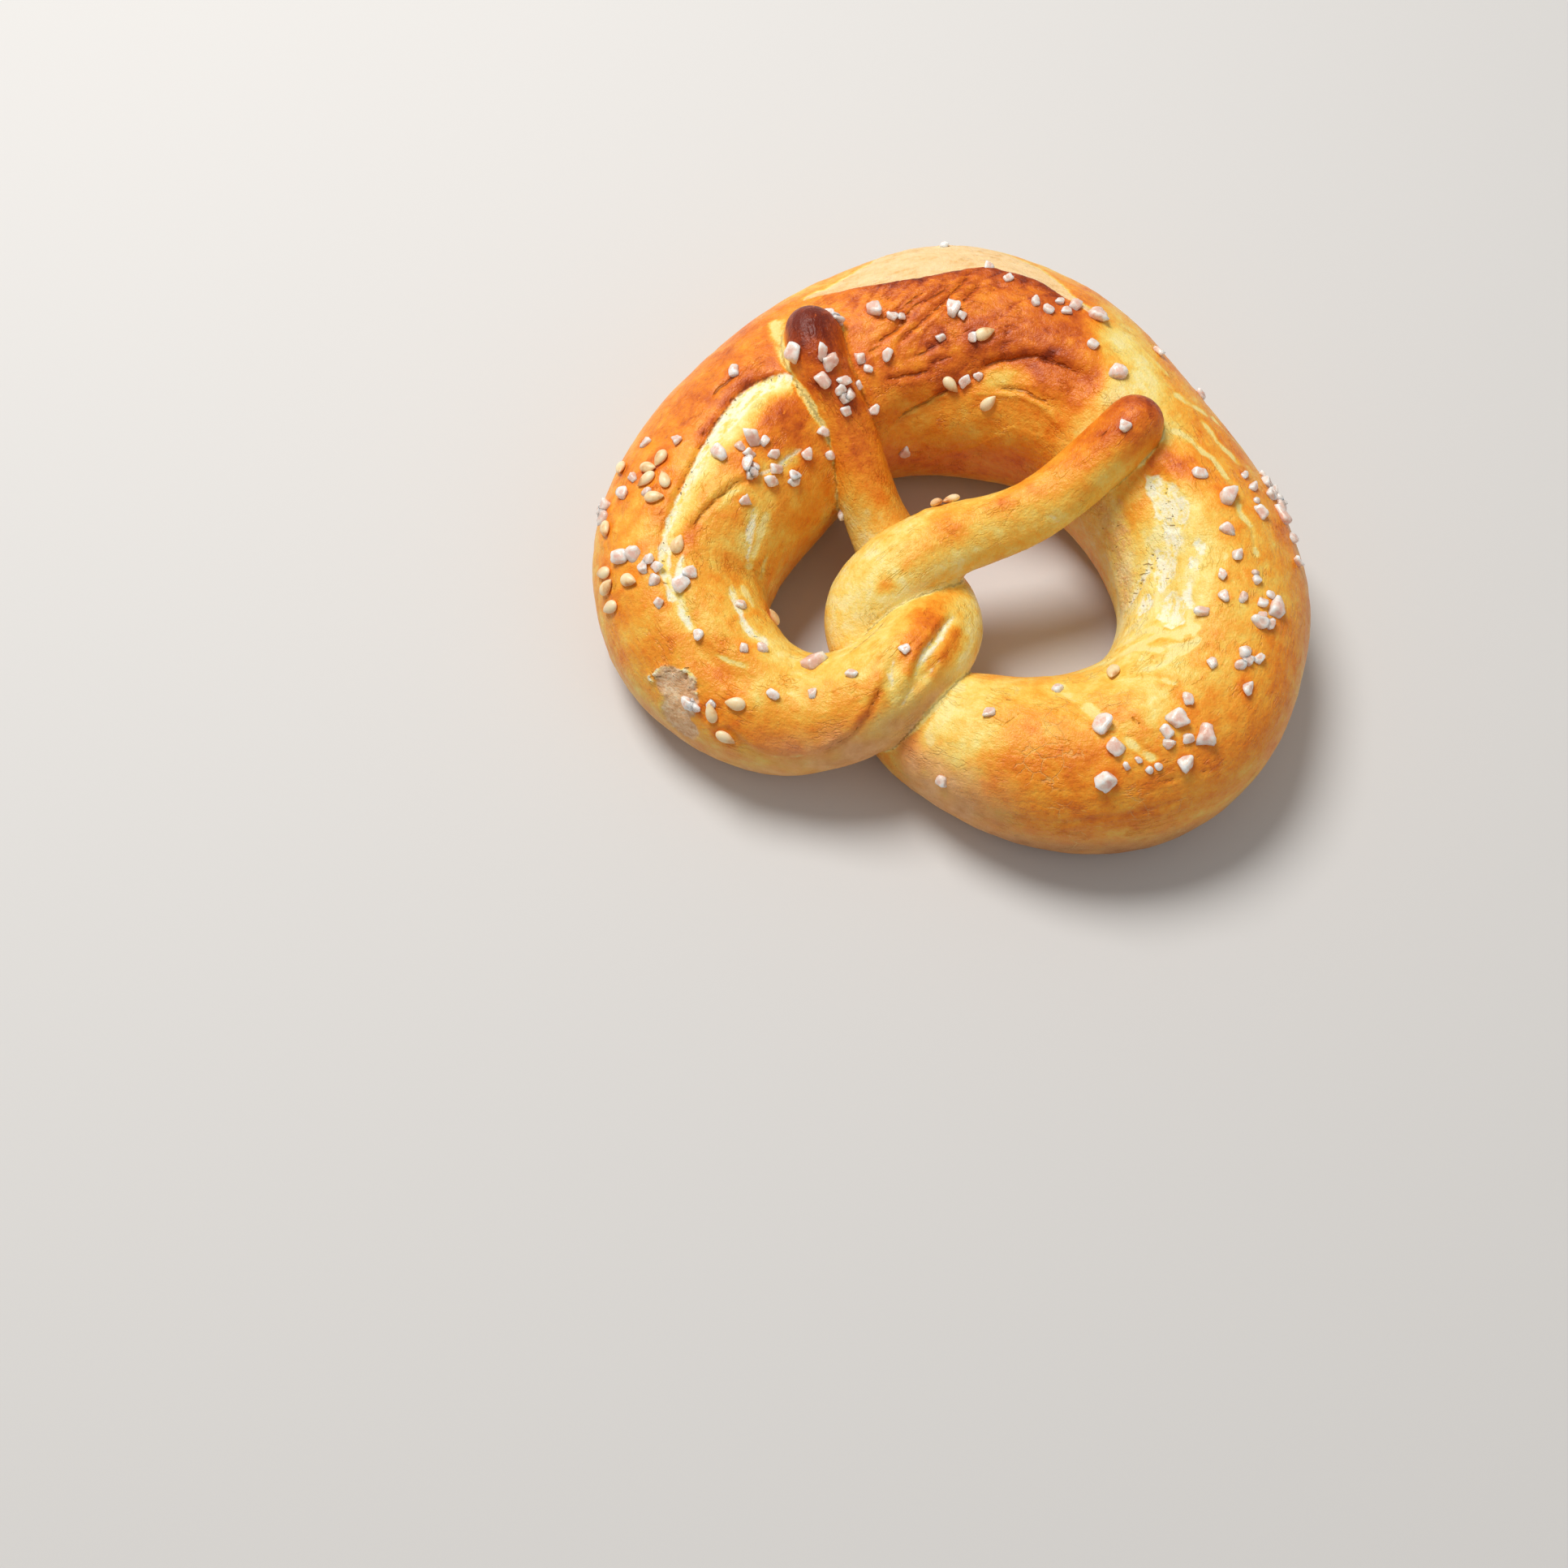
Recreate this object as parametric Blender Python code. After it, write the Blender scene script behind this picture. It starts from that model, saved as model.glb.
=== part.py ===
"""Soft pretzel: one rope of dough, thick in the middle and thin at both ends,
bent into the pretzel knot, baked until the strands grew together, and torn
where the crust burst.  Metres, +Z up, origin at the middle of the underside.
+Y points from the knot to the thick back arc (the belly)."""

import math

import bpy
import numpy as np
from mathutils import Matrix

MM = 0.001

# ------------------------------------------------------------ driving sizes
CENTRE = (0.7, 2.3)        # mm, middle of the plan box in the rope's own layout
RING_STEP = 1.2            # mm between rings along the rope
SIDES = 60                 # points round the rope
TOP_CROWDING = 0.35        # how much closer the points sit on the upper side
TIP_ROUND = 4.2            # mm, length of the rounding at the two tips
TIP_RINGS = 7              # rings on that rounding
BOTTOM_SQUARE = 2.7        # superellipse power of the underside where it lay on the tray
GRAIN = 0.75               # mm, grid on which the crossing strands are joined
KEEP = 0.077               # share of that grid's triangles that is kept
TRAY_DEPTH = 20.0          # mm, depth of the block that leaves the underside flat
LUMP = 0.30                # mm, height of the slow unevenness of hand-rolled dough

# The rope, station by station: x, y, z of its middle, half width, half height (mm).
LEFT_ARM = [               # from the tip on the belly down into the knot
    (-28.1, 26.6, 28.5, 4.2, 3.9), (-27.0, 21.2, 28.9, 4.6, 4.2),
    (-23.5, 15.5, 26.0, 4.5, 4.3), (-18.7, 10.0, 21.5, 4.2, 4.2),
    (-14.8, 4.5, 16.0, 4.6, 4.5), (-10.5, 0.0, 10.5, 5.4, 5.2),
]
KNOT_OVER = [              # turns below the right arm, then climbs over the other strand
    (-4.5, -6.5, 9.0, 6.8, 6.2), (-0.2, -14.5, 12.5, 7.4, 6.8),
    (-3.2, -25.0, 16.5, 7.8, 7.2), (-9.5, -31.0, 14.0, 8.6, 8.0),
]
LEFT_LOBE = [
    (-18.0, -33.0, 10.8, 9.4, 9.2), (-27.5, -31.0, 10.6, 10.8, 10.5),
    (-34.8, -25.5, 11.0, 12.4, 11.5), (-39.6, -17.0, 11.5, 14.0, 12.5),
    (-39.2, -5.5, 12.8, 15.5, 13.4), (-34.5, 7.3, 13.3, 16.6, 14.2),
    (-28.3, 18.8, 13.6, 15.8, 14.8),
]
BELLY = [                  # the thick back arc
    (-18.5, 27.5, 14.0, 15.9, 15.4), (-7.5, 32.0, 14.5, 17.0, 15.8),
    (5.5, 32.0, 14.5, 16.6, 15.6), (17.0, 27.7, 14.0, 15.2, 15.0),
]
RIGHT_LOBE = [
    (27.0, 19.4, 13.5, 13.9, 14.4), (35.2, 10.4, 13.0, 14.0, 14.0),
    (40.8, 0.0, 12.5, 14.4, 13.6), (41.6, -12.8, 12.2, 14.3, 13.2),
    (37.6, -24.0, 11.8, 14.4, 12.8), (28.4, -31.0, 11.3, 14.0, 12.4),
    (17.5, -33.0, 10.8, 12.4, 11.6), (7.5, -31.5, 9.5, 10.4, 10.2),
]
KNOT_UNDER = [             # passes below the first strand and climbs up its far side
    (-1.5, -27.0, 7.5, 8.2, 8.0), (-8.0, -20.5, 8.5, 6.8, 6.6),
    (-10.5, -15.0, 12.5, 6.6, 6.4), (-7.0, -9.5, 17.0, 6.6, 6.2),
]
RIGHT_ARM = [              # crosses over the left arm and lies on the right shoulder
    (-0.5, -3.8, 18.7, 6.0, 5.6), (9.5, 2.2, 20.5, 4.8, 4.7),
    (17.0, 8.6, 24.0, 4.7, 4.6), (22.4, 14.6, 28.4, 4.6, 4.3),
    (25.8, 20.0, 30.0, 4.4, 4.2),
]
ROPE = LEFT_ARM + KNOT_OVER + LEFT_LOBE + BELLY + RIGHT_LOBE + KNOT_UNDER + RIGHT_ARM

# Tears and lips of the crust.  Each line runs on the rope's surface through
# (mm along the rope from the left tip, degrees round it from the top; positive
# degrees are on the right hand of the way the rope runs).
# "across" is the half width in mm, "depth" how far the crumb lies below the
# crust, "lip" how far one side stands proud (positive: the right-hand side).
TEARS = [
    # the long split down the outside of the left lobe
    dict(line=[(93, -9), (101, -13), (110, -9), (120, -6), (130, -6), (141, -9), (147, -6), (151, 6)],
         across=2.0, depth=1.3, lip=0.0),
    # the burst along the back of the belly, crust standing above bare crumb
    dict(line=[(164, -32), (171, -28), (179, -21), (187, -32), (192, -28), (197, -21)],
         across=2.2, depth=0.3, lip=0.9),
    # the overhanging edge of the crust on the inside of the belly
    dict(line=[(163, 66), (170, 56), (178, 51), (183, 42), (190, 28), (197, 21), (203, 18), (209, 9)],
         across=2.4, depth=0.5, lip=-1.2),
    # the ragged burst on the inside of the right lobe
    dict(line=[(222, 24), (229, 28), (237, 36), (247, 42), (253, 36), (259, 18)],
         across=3.0, depth=1.0, lip=-0.5),
    # two slits where the over-going strand of the knot opened
    dict(line=[(61.5, -21), (66, -18), (69, -21), (71, -32), (73, -45)], across=1.6, depth=1.2, lip=0.0),
    dict(line=[(68, 4), (70.5, -2), (72, -13), (73.5, -28)], across=1.4, depth=0.8, lip=0.0),
    # the shallow stretch mark at the front right
    dict(line=[(290, 43), (283, 17), (279, -6), (276, -28)], across=2.2, depth=0.5, lip=0.0),
]

# Swellings and hollows: mm along, degrees round, reach along and across in mm, height in mm.
BULGES = [
    (177, -58, 18, 9, 2.0),     # crumb swelling out of the burst at the back
    (136, 12, 16, 7, 0.9),      # inner flank of the left split
    (101, -52, 5, 6, -0.7),     # patch where the crust was pulled off
    (66, -2, 7, 4, 0.6),        # shoulder of the over-going strand
    (240, 8, 16, 6, 0.7),       # crown of the right lobe beside its tear
]


# ---------------------------------------------------------------- geometry
def spline_through(stations):
    """Natural cubic through the stations, as a function of chord length."""
    values = np.array(stations, float)
    knots = np.concatenate([[0], np.cumsum(np.linalg.norm(np.diff(values[:, :3], axis=0), axis=1))])
    gap = np.diff(knots)
    count = len(knots)
    left, right = np.eye(count), np.zeros_like(values)
    for i in range(1, count - 1):
        left[i, i - 1:i + 2] = gap[i - 1], 2 * (gap[i - 1] + gap[i]), gap[i]
        right[i] = 6 * ((values[i + 1] - values[i]) / gap[i] - (values[i] - values[i - 1]) / gap[i - 1])
    bend = np.linalg.solve(left, right)

    def at(u):
        u = np.asarray(u, float)
        i = np.clip(np.searchsorted(knots, u) - 1, 0, count - 2)
        h = (knots[i + 1] - knots[i])[:, None]
        a, b = (knots[i + 1] - u)[:, None] / h, (u - knots[i])[:, None] / h
        return (a * values[i] + b * values[i + 1]
                + ((a ** 3 - a) * bend[i] + (b ** 3 - b) * bend[i + 1]) * h * h / 6)

    return knots, at


def smooth(x):
    x = np.clip(x, 0, 1)
    return x * x * (3 - 2 * x)


class Rope:
    """The rope's surface, addressed by mm along it and radians round it."""

    def __init__(self, stations):
        knots, at = spline_through(stations)
        fine = np.linspace(0, knots[-1], 4000)
        points = at(fine)[:, :3]
        along = np.concatenate([[0], np.cumsum(np.linalg.norm(np.diff(points, axis=0), axis=1))])
        self.length = along[-1]
        self._fine, self._along, self._at = fine, along, at

    def section(self, s):
        """Middle, side and up directions, half width and half height at s."""
        s = np.clip(np.asarray(s, float), 0, self.length)
        here = self._at(np.interp(s, self._along, self._fine))
        ahead = self._at(np.interp(s + 0.5, self._along, self._fine))[:, :3]
        behind = self._at(np.interp(s - 0.5, self._along, self._fine))[:, :3]
        way = ahead - behind
        way /= np.linalg.norm(way, axis=1)[:, None]
        side = np.cross(way, (0.0, 0.0, 1.0))
        side /= np.linalg.norm(side, axis=1)[:, None]
        up = np.cross(side, way)
        end = np.minimum(s, self.length - s)
        tip = np.sqrt(np.clip(1 - (1 - np.clip(end / TIP_ROUND, 0, 1)) ** 2, 0.01, 1))
        return here[:, :3], side, up, here[:, 3] * tip, here[:, 4] * tip

    def surface(self, s, turn):
        """Points of the plain surface; s and turn are arrays of the same length."""
        middle, side, up, half_w, half_h = self.section(s)
        resting = smooth(1 - (middle[:, 2] - half_h - 0.5) / 3)
        power = np.where(np.cos(turn) < 0, 2 / (2 + (BOTTOM_SQUARE - 2) * resting), 1.0)
        across = half_w * np.sign(np.sin(turn)) * np.abs(np.sin(turn)) ** power
        rise = half_h * np.sign(np.cos(turn)) * np.abs(np.cos(turn)) ** power
        return middle + side * across[:, None] + up * rise[:, None]


def lumps(s, turn):
    """Slow unevenness, the same on every bake."""
    return LUMP * (np.sin(s / 7.1 + 1.3 * np.sin(turn + 0.4)) * np.cos(2 * turn + s / 23)
                   + 0.7 * np.sin(s / 11.3 + 2.1) * np.cos(turn - s / 31)
                   + 0.5 * np.sin(s / 4.3) * np.sin(3 * turn + s / 13))


def relief(rope, s, turn, points, normals):
    """Height in mm by which the tears, lips and swellings move each point."""
    height = lumps(s, turn)
    girth = rope.section(s)[3]
    for along, degrees, reach, across, rise in BULGES:
        off = (np.degrees(turn) - degrees + 180) % 360 - 180
        height += rise * np.exp(-((s - along) / reach) ** 2 - (np.radians(off) * girth / across) ** 2)
    for tear in TEARS:
        stations = np.array(tear["line"], float)
        run = np.linspace(0, len(stations) - 1, 12 * len(stations))
        whole = np.arange(len(stations))
        line_s = np.interp(run, whole, stations[:, 0])
        line_turn = np.radians(np.interp(run, whole, stations[:, 1]))
        line = rope.surface(line_s, line_turn)
        near = np.nonzero((s > line_s.min() - 8) & (s < line_s.max() + 8))[0]
        gap = np.linalg.norm(points[near, None] - line[None], axis=2)
        nearest = gap.argmin(1)
        distance = gap.min(1)
        way = np.gradient(line, axis=0)[nearest]
        hand = np.einsum("ij,ij->i", points[near] - line[nearest], np.cross(way, normals[near]))
        fade = smooth(nearest / 10) * smooth((len(run) - 1 - nearest) / 10)
        across = tear["across"]
        trench = -tear["depth"] * np.exp(-(distance / across) ** 2)
        flank = np.exp(-(distance / (3.5 * across)) ** 2)
        step = tear["lip"] * np.tanh(np.sign(hand) * distance / (0.6 * across)) * flank * 0.5
        height[near] += fade * (trench + step)
    return height


def dough(rope):
    """Vertices and faces of the whole rope, still passing through itself at the knot."""
    rings = int(round(rope.length / RING_STEP)) + 1
    ring_s = np.linspace(0, rope.length, rings)
    dome = TIP_ROUND * (1 - np.cos(np.linspace(0.1, 1, TIP_RINGS) * math.pi / 2))
    body = ring_s[(ring_s > TIP_ROUND + 1) & (ring_s < rope.length - TIP_ROUND - 1)]
    ring_s = np.concatenate([dome, body, rope.length - dome[::-1]])
    rings = len(ring_s)
    even = np.arange(SIDES) * 2 * math.pi / SIDES
    ring_turn = even - TOP_CROWDING * np.sin(even)
    s = np.repeat(ring_s, SIDES)
    turn = np.tile((ring_turn + math.pi) % (2 * math.pi) - math.pi, rings)
    points = rope.surface(s, turn)
    along = rope.surface(s + 0.3, turn) - rope.surface(s - 0.3, turn)
    around = rope.surface(s, turn + 0.02) - rope.surface(s, turn - 0.02)
    normals = np.cross(around, along)
    normals /= np.maximum(np.linalg.norm(normals, axis=1)[:, None], 1e-9)
    outward = points - np.repeat(rope.section(ring_s)[0], SIDES, axis=0)
    normals *= np.sign(np.einsum("ij,ij->i", normals, outward))[:, None]
    tip = smooth(np.minimum(s, rope.length - s) / 5)
    points = points + normals * (relief(rope, s, turn, points, normals) * tip)[:, None]
    faces = []
    for i in range(rings - 1):
        for j in range(SIDES):
            k = (j + 1) % SIDES
            faces.append((i * SIDES + j, (i + 1) * SIDES + j, (i + 1) * SIDES + k, i * SIDES + k))
    faces.append(tuple(range(SIDES)))
    faces.append(tuple((rings - 1) * SIDES + j for j in reversed(range(SIDES))))
    return points - np.array([CENTRE[0], CENTRE[1], 0.0]), faces


def mesh_object(name, points, faces):
    mesh = bpy.data.meshes.new(name)
    mesh.from_pydata((points * MM).tolist(), [], faces)
    mesh.validate()
    mesh.update()
    made = bpy.data.objects.new(name, mesh)
    bpy.context.scene.collection.objects.link(made)
    return made


# ------------------------------------------------------------------- model
for old in list(bpy.data.objects):
    bpy.data.objects.remove(old)

rope = Rope(ROPE)
pretzel = mesh_object("pretzel", *dough(rope))

# The tray the pretzel was baked on: it leaves the flat underside.
bpy.ops.mesh.primitive_cube_add(size=1.0)
tray = bpy.context.object
tray.name = "tray_cutter"
tray.data.transform(Matrix.LocRotScale((0, 0, -TRAY_DEPTH * MM / 2), None, (0.2, 0.2, TRAY_DEPTH * MM)))
tray.hide_render = True
tray.display_type = "WIRE"

# Where strands pass through each other they have baked into one crumb.
joined = pretzel.modifiers.new("strands_grown_together", "REMESH")
joined.mode = "VOXEL"
joined.voxel_size = GRAIN * MM
joined.use_smooth_shade = True
lighter = pretzel.modifiers.new("fewer_faces", "DECIMATE")
lighter.decimate_type = "COLLAPSE"
lighter.ratio = KEEP
lighter.use_collapse_triangulate = True
flat = pretzel.modifiers.new("flat_underside", "BOOLEAN")
flat.operation = "DIFFERENCE"
flat.solver = "EXACT"
flat.object = tray

crust = bpy.data.materials.new("crust")
crust.use_nodes = True
shader = crust.node_tree.nodes["Principled BSDF"]
shader.inputs["Base Color"].default_value = (0.72, 0.40, 0.12, 1.0)
shader.inputs["Roughness"].default_value = 0.48
shader.inputs["Metallic"].default_value = 0.0
pretzel.data.materials.clear()
pretzel.data.materials.append(crust)
pretzel.data.shade_smooth()
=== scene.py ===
"""Looks of the soft pretzel: the baked rope of dough with its browned crust, tears
and wrinkles, the coarse salt and the few sesame seeds lying on it.
Lengths in this script are millimetres until a mesh is made."""

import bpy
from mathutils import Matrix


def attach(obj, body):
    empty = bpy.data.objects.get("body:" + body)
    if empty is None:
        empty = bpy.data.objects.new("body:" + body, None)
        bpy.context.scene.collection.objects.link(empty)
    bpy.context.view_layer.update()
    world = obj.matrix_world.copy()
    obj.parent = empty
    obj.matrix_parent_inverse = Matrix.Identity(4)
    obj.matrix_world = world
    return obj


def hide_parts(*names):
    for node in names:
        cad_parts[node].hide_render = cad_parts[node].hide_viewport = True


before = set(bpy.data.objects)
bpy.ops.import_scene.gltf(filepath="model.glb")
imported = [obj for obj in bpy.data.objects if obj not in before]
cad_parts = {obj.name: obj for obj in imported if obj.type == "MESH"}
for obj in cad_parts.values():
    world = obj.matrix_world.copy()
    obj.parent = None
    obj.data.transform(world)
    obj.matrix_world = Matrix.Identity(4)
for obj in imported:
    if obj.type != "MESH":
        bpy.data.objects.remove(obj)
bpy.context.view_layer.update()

import math

import bmesh
import bpy
import numpy as np
from mathutils import Matrix, Vector
from mathutils.bvhtree import BVHTree

MM = 0.001
GRAIN = 0.42     # voxel size of the dough mesh
FACES = 196_000

# =====================================================================  the rope
CENTRE = (0.7, 2.3)
TIP_ROUND = 4.2
BOTTOM_SQUARE = 2.7
LUMP = 0.30
LEFT_ARM = [
    (-28.1, 26.6, 28.5, 4.2, 3.9), (-27.0, 21.2, 28.9, 4.6, 4.2),
    (-23.5, 15.5, 26.0, 4.5, 4.3), (-18.7, 10.0, 21.5, 4.2, 4.2),
    (-14.8, 4.5, 16.0, 4.6, 4.5), (-10.5, 0.0, 10.5, 5.4, 5.2),
]
KNOT_OVER = [
    (-4.5, -6.5, 9.0, 6.8, 6.2), (-0.2, -14.5, 12.5, 7.4, 6.8),
    (-3.2, -25.0, 16.5, 7.8, 7.2), (-9.5, -31.0, 14.0, 8.6, 8.0),
]
LEFT_LOBE = [
    (-18.0, -33.0, 10.8, 9.4, 9.2), (-27.5, -31.0, 10.6, 10.8, 10.5),
    (-34.8, -25.5, 11.0, 12.4, 11.5), (-39.6, -17.0, 11.5, 14.0, 12.5),
    (-39.2, -5.5, 12.8, 15.5, 13.4), (-34.5, 7.3, 13.3, 16.6, 14.2),
    (-28.3, 18.8, 13.6, 15.8, 14.8),
]
BELLY = [
    (-18.5, 27.5, 14.0, 15.9, 15.4), (-7.5, 32.0, 14.5, 17.0, 15.8),
    (5.5, 32.0, 14.5, 16.6, 15.6), (17.0, 27.7, 14.0, 15.2, 15.0),
]
RIGHT_LOBE = [
    (27.0, 19.4, 13.5, 13.9, 14.4), (35.2, 10.4, 13.0, 14.0, 14.0),
    (40.8, 0.0, 12.5, 14.4, 13.6), (41.6, -12.8, 12.2, 14.3, 13.2),
    (37.6, -24.0, 11.8, 14.4, 12.8), (28.4, -31.0, 11.3, 14.0, 12.4),
    (17.5, -33.0, 10.8, 12.4, 11.6), (7.5, -31.5, 9.5, 10.4, 10.2),
]
KNOT_UNDER = [
    (-1.5, -27.0, 7.5, 8.2, 8.0), (-8.0, -20.5, 8.5, 6.8, 6.6),
    (-10.5, -15.0, 12.5, 6.6, 6.4), (-7.0, -9.5, 17.0, 6.6, 6.2),
]
RIGHT_ARM = [
    (-0.5, -3.8, 18.7, 6.0, 5.6), (9.5, 2.2, 20.5, 4.8, 4.7),
    (17.0, 8.6, 24.0, 4.7, 4.6), (22.4, 14.6, 28.4, 4.6, 4.3),
    (25.8, 20.0, 30.0, 4.4, 4.2),
]
ROPE = LEFT_ARM + KNOT_OVER + LEFT_LOBE + BELLY + RIGHT_LOBE + KNOT_UNDER + RIGHT_ARM


def spline_through(stations):
    values = np.array(stations, float)
    knots = np.concatenate([[0], np.cumsum(np.linalg.norm(np.diff(values[:, :3], axis=0), axis=1))])
    gap = np.diff(knots)
    count = len(knots)
    left, right = np.eye(count), np.zeros_like(values)
    for i in range(1, count - 1):
        left[i, i - 1:i + 2] = gap[i - 1], 2 * (gap[i - 1] + gap[i]), gap[i]
        right[i] = 6 * ((values[i + 1] - values[i]) / gap[i] - (values[i] - values[i - 1]) / gap[i - 1])
    bend = np.linalg.solve(left, right)

    def at(u):
        u = np.asarray(u, float)
        i = np.clip(np.searchsorted(knots, u) - 1, 0, count - 2)
        h = (knots[i + 1] - knots[i])[:, None]
        a, b = (knots[i + 1] - u)[:, None] / h, (u - knots[i])[:, None] / h
        return (a * values[i] + b * values[i + 1]
                + ((a ** 3 - a) * bend[i] + (b ** 3 - b) * bend[i + 1]) * h * h / 6)

    return knots, at


def smooth(x, low=0.0, high=1.0):
    x = np.clip((np.asarray(x, float) - low) / (high - low), 0, 1)
    return x * x * (3 - 2 * x)


class Rope:
    """The rope's surface, addressed by mm along it and radians round it.
    Turn 0 is the top; positive turns are on the right hand of the way it runs."""

    def __init__(self, stations):
        knots, at = spline_through(stations)
        fine = np.linspace(0, knots[-1], 4000)
        points = at(fine)[:, :3]
        along = np.concatenate([[0], np.cumsum(np.linalg.norm(np.diff(points, axis=0), axis=1))])
        self.length = along[-1]
        self._fine, self._along, self._at = fine, along, at

    def section(self, s):
        s = np.clip(np.asarray(s, float), 0, self.length)
        here = self._at(np.interp(s, self._along, self._fine))
        ahead = self._at(np.interp(s + 0.5, self._along, self._fine))[:, :3]
        behind = self._at(np.interp(s - 0.5, self._along, self._fine))[:, :3]
        way = ahead - behind
        way /= np.linalg.norm(way, axis=1)[:, None]
        side = np.cross(way, (0.0, 0.0, 1.0))
        side /= np.linalg.norm(side, axis=1)[:, None]
        up = np.cross(side, way)
        end = np.minimum(s, self.length - s)
        tip = np.sqrt(np.clip(1 - (1 - np.clip(end / TIP_ROUND, 0, 1)) ** 2, 0.01, 1))
        return here[:, :3], side, up, here[:, 3] * tip, here[:, 4] * tip

    def surface(self, s, turn):
        middle, side, up, half_w, half_h = self.section(s)
        resting = smooth(1 - (middle[:, 2] - half_h - 0.5) / 3)
        power = np.where(np.cos(turn) < 0, 2 / (2 + (BOTTOM_SQUARE - 2) * resting), 1.0)
        across = half_w * np.sign(np.sin(turn)) * np.abs(np.sin(turn)) ** power
        rise = half_h * np.sign(np.cos(turn)) * np.abs(np.cos(turn)) ** power
        return middle + side * across[:, None] + up * rise[:, None]


# ==================================================================  noise fields
def _hash(ix, iy, iz, seed):
    h = (ix * 374761393 + iy * 668265263 + iz * 2147483647 + seed * 1274126177) & 0xFFFFFFFF
    h = ((h ^ (h >> 13)) * 1103515245) & 0xFFFFFFFF
    h = ((h ^ (h >> 16)) * 2246822519) & 0xFFFFFFFF
    return ((h ^ (h >> 15)) & 0xFFFFFF) / float(0xFFFFFF) * 2 - 1


def value_noise(points, size, seed):
    """Smooth noise between -1 and 1 with features of about this size."""
    q = points / size + seed * 17.31
    base = np.floor(q).astype(np.int64)
    f = q - base
    f = f * f * f * (f * (f * 6 - 15) + 10)
    out = np.zeros(len(q))
    for dx in (0, 1):
        wx = f[:, 0] if dx else 1 - f[:, 0]
        for dy in (0, 1):
            wy = f[:, 1] if dy else 1 - f[:, 1]
            for dz in (0, 1):
                wz = f[:, 2] if dz else 1 - f[:, 2]
                out += wx * wy * wz * _hash(base[:, 0] + dx, base[:, 1] + dy, base[:, 2] + dz, seed)
    return out


def layered(points, size, seed, octaves=3, gain=0.5):
    total, weight, out = 0.0, 1.0, 0
    for k in range(octaves):
        out = out + weight * value_noise(points, size / 2 ** k, seed + 7 * k)
        total += weight
        weight *= gain
    return out / total


# =======================================================  base mesh of the dough
rope = Rope(ROPE)
RING, SIDES = 0.8, 96


def plain_tube():
    dome = TIP_ROUND * (1 - np.cos(np.linspace(0.08, 1, 9) * math.pi / 2))
    ring_s = np.linspace(0, rope.length, int(rope.length / RING) + 1)
    body = ring_s[(ring_s > TIP_ROUND + 0.6) & (ring_s < rope.length - TIP_ROUND - 0.6)]
    ring_s = np.concatenate([dome, body, rope.length - dome[::-1]])
    even = np.arange(SIDES) * 2 * math.pi / SIDES
    turn = (even + math.pi) % (2 * math.pi) - math.pi
    s = np.repeat(ring_s, SIDES)
    t = np.tile(turn, len(ring_s))
    return ring_s, turn, s, t, rope.surface(s, t)


ring_s, ring_turn, tube_s, tube_turn, tube = plain_tube()
RINGS = len(ring_s)
tube_faces = []
for i in range(RINGS - 1):
    for j in range(SIDES):
        k = (j + 1) % SIDES
        tube_faces.append((i * SIDES + j, (i + 1) * SIDES + j, (i + 1) * SIDES + k, i * SIDES + k))


def mesh_object(name, points, faces):
    mesh = bpy.data.meshes.new(name)
    mesh.from_pydata((np.asarray(points) * MM).tolist(), [], faces)
    mesh.update()
    made = bpy.data.objects.new(name, mesh)
    bpy.context.scene.collection.objects.link(made)
    return made


def arrays(mesh):
    points = np.zeros(len(mesh.vertices) * 3)
    mesh.vertices.foreach_get("co", points)
    mesh.calc_loop_triangles()
    tris = np.zeros(len(mesh.loop_triangles) * 3, np.int64)
    mesh.loop_triangles.foreach_get("vertices", tris)
    return points.reshape(-1, 3) / MM, tris.reshape(-1, 3)


def normals_of(points, tris):
    a, b, c = points[tris[:, 0]], points[tris[:, 1]], points[tris[:, 2]]
    face = np.cross(b - a, c - a)
    out = np.zeros_like(points)
    for k in range(3):
        for axis in range(3):
            out[:, axis] += np.bincount(tris[:, k], face[:, axis], minlength=len(points))
    return out / np.maximum(np.linalg.norm(out, axis=1)[:, None], 1e-12)


def relax(values, tris, rounds, amount=0.5):
    """Averages each vertex with its neighbours."""
    pairs = np.concatenate([tris[:, [0, 1]], tris[:, [1, 2]], tris[:, [2, 0]]])
    count = np.bincount(pairs[:, 0], minlength=len(values)).astype(float)
    values = values.copy()
    flat = values.ndim == 1
    if flat:
        values = values[:, None]
    for _ in range(rounds):
        mean = np.stack([np.bincount(pairs[:, 0], values[pairs[:, 1], k], minlength=len(values))
                         for k in range(values.shape[1])], axis=1) / np.maximum(count, 1)[:, None]
        values += (mean - values) * amount
    return values[:, 0] if flat else values


caps = [tuple(range(SIDES)), tuple((RINGS - 1) * SIDES + j for j in reversed(range(SIDES)))]
coarse = mesh_object("dough_start", tube, tube_faces + caps)
remesh = coarse.modifiers.new("strands_grown_together", "REMESH")
remesh.mode = "VOXEL"
remesh.voxel_size = GRAIN * MM
bpy.context.view_layer.update()
evaluated = coarse.evaluated_get(bpy.context.evaluated_depsgraph_get())
made = evaluated.to_mesh()
P, TRI = arrays(made)
evaluated.to_mesh_clear()
bpy.data.objects.remove(coarse)

# only the outer skin: pockets closed in between the strands are dropped
label = np.arange(len(P))
while True:
    low = np.minimum(np.minimum(label[TRI[:, 0]], label[TRI[:, 1]]), label[TRI[:, 2]])
    new = label.copy()
    for k in range(3):
        np.minimum.at(new, TRI[:, k], low)
    new = new[new]
    if (new == label).all():
        break
    label = new
main = np.bincount(label).argmax()
keep = label == main
index = np.cumsum(keep) - 1
TRI = index[TRI[keep[TRI[:, 0]]]]
P = P[keep]
P = relax(P, TRI, 3, 0.5)

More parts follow.
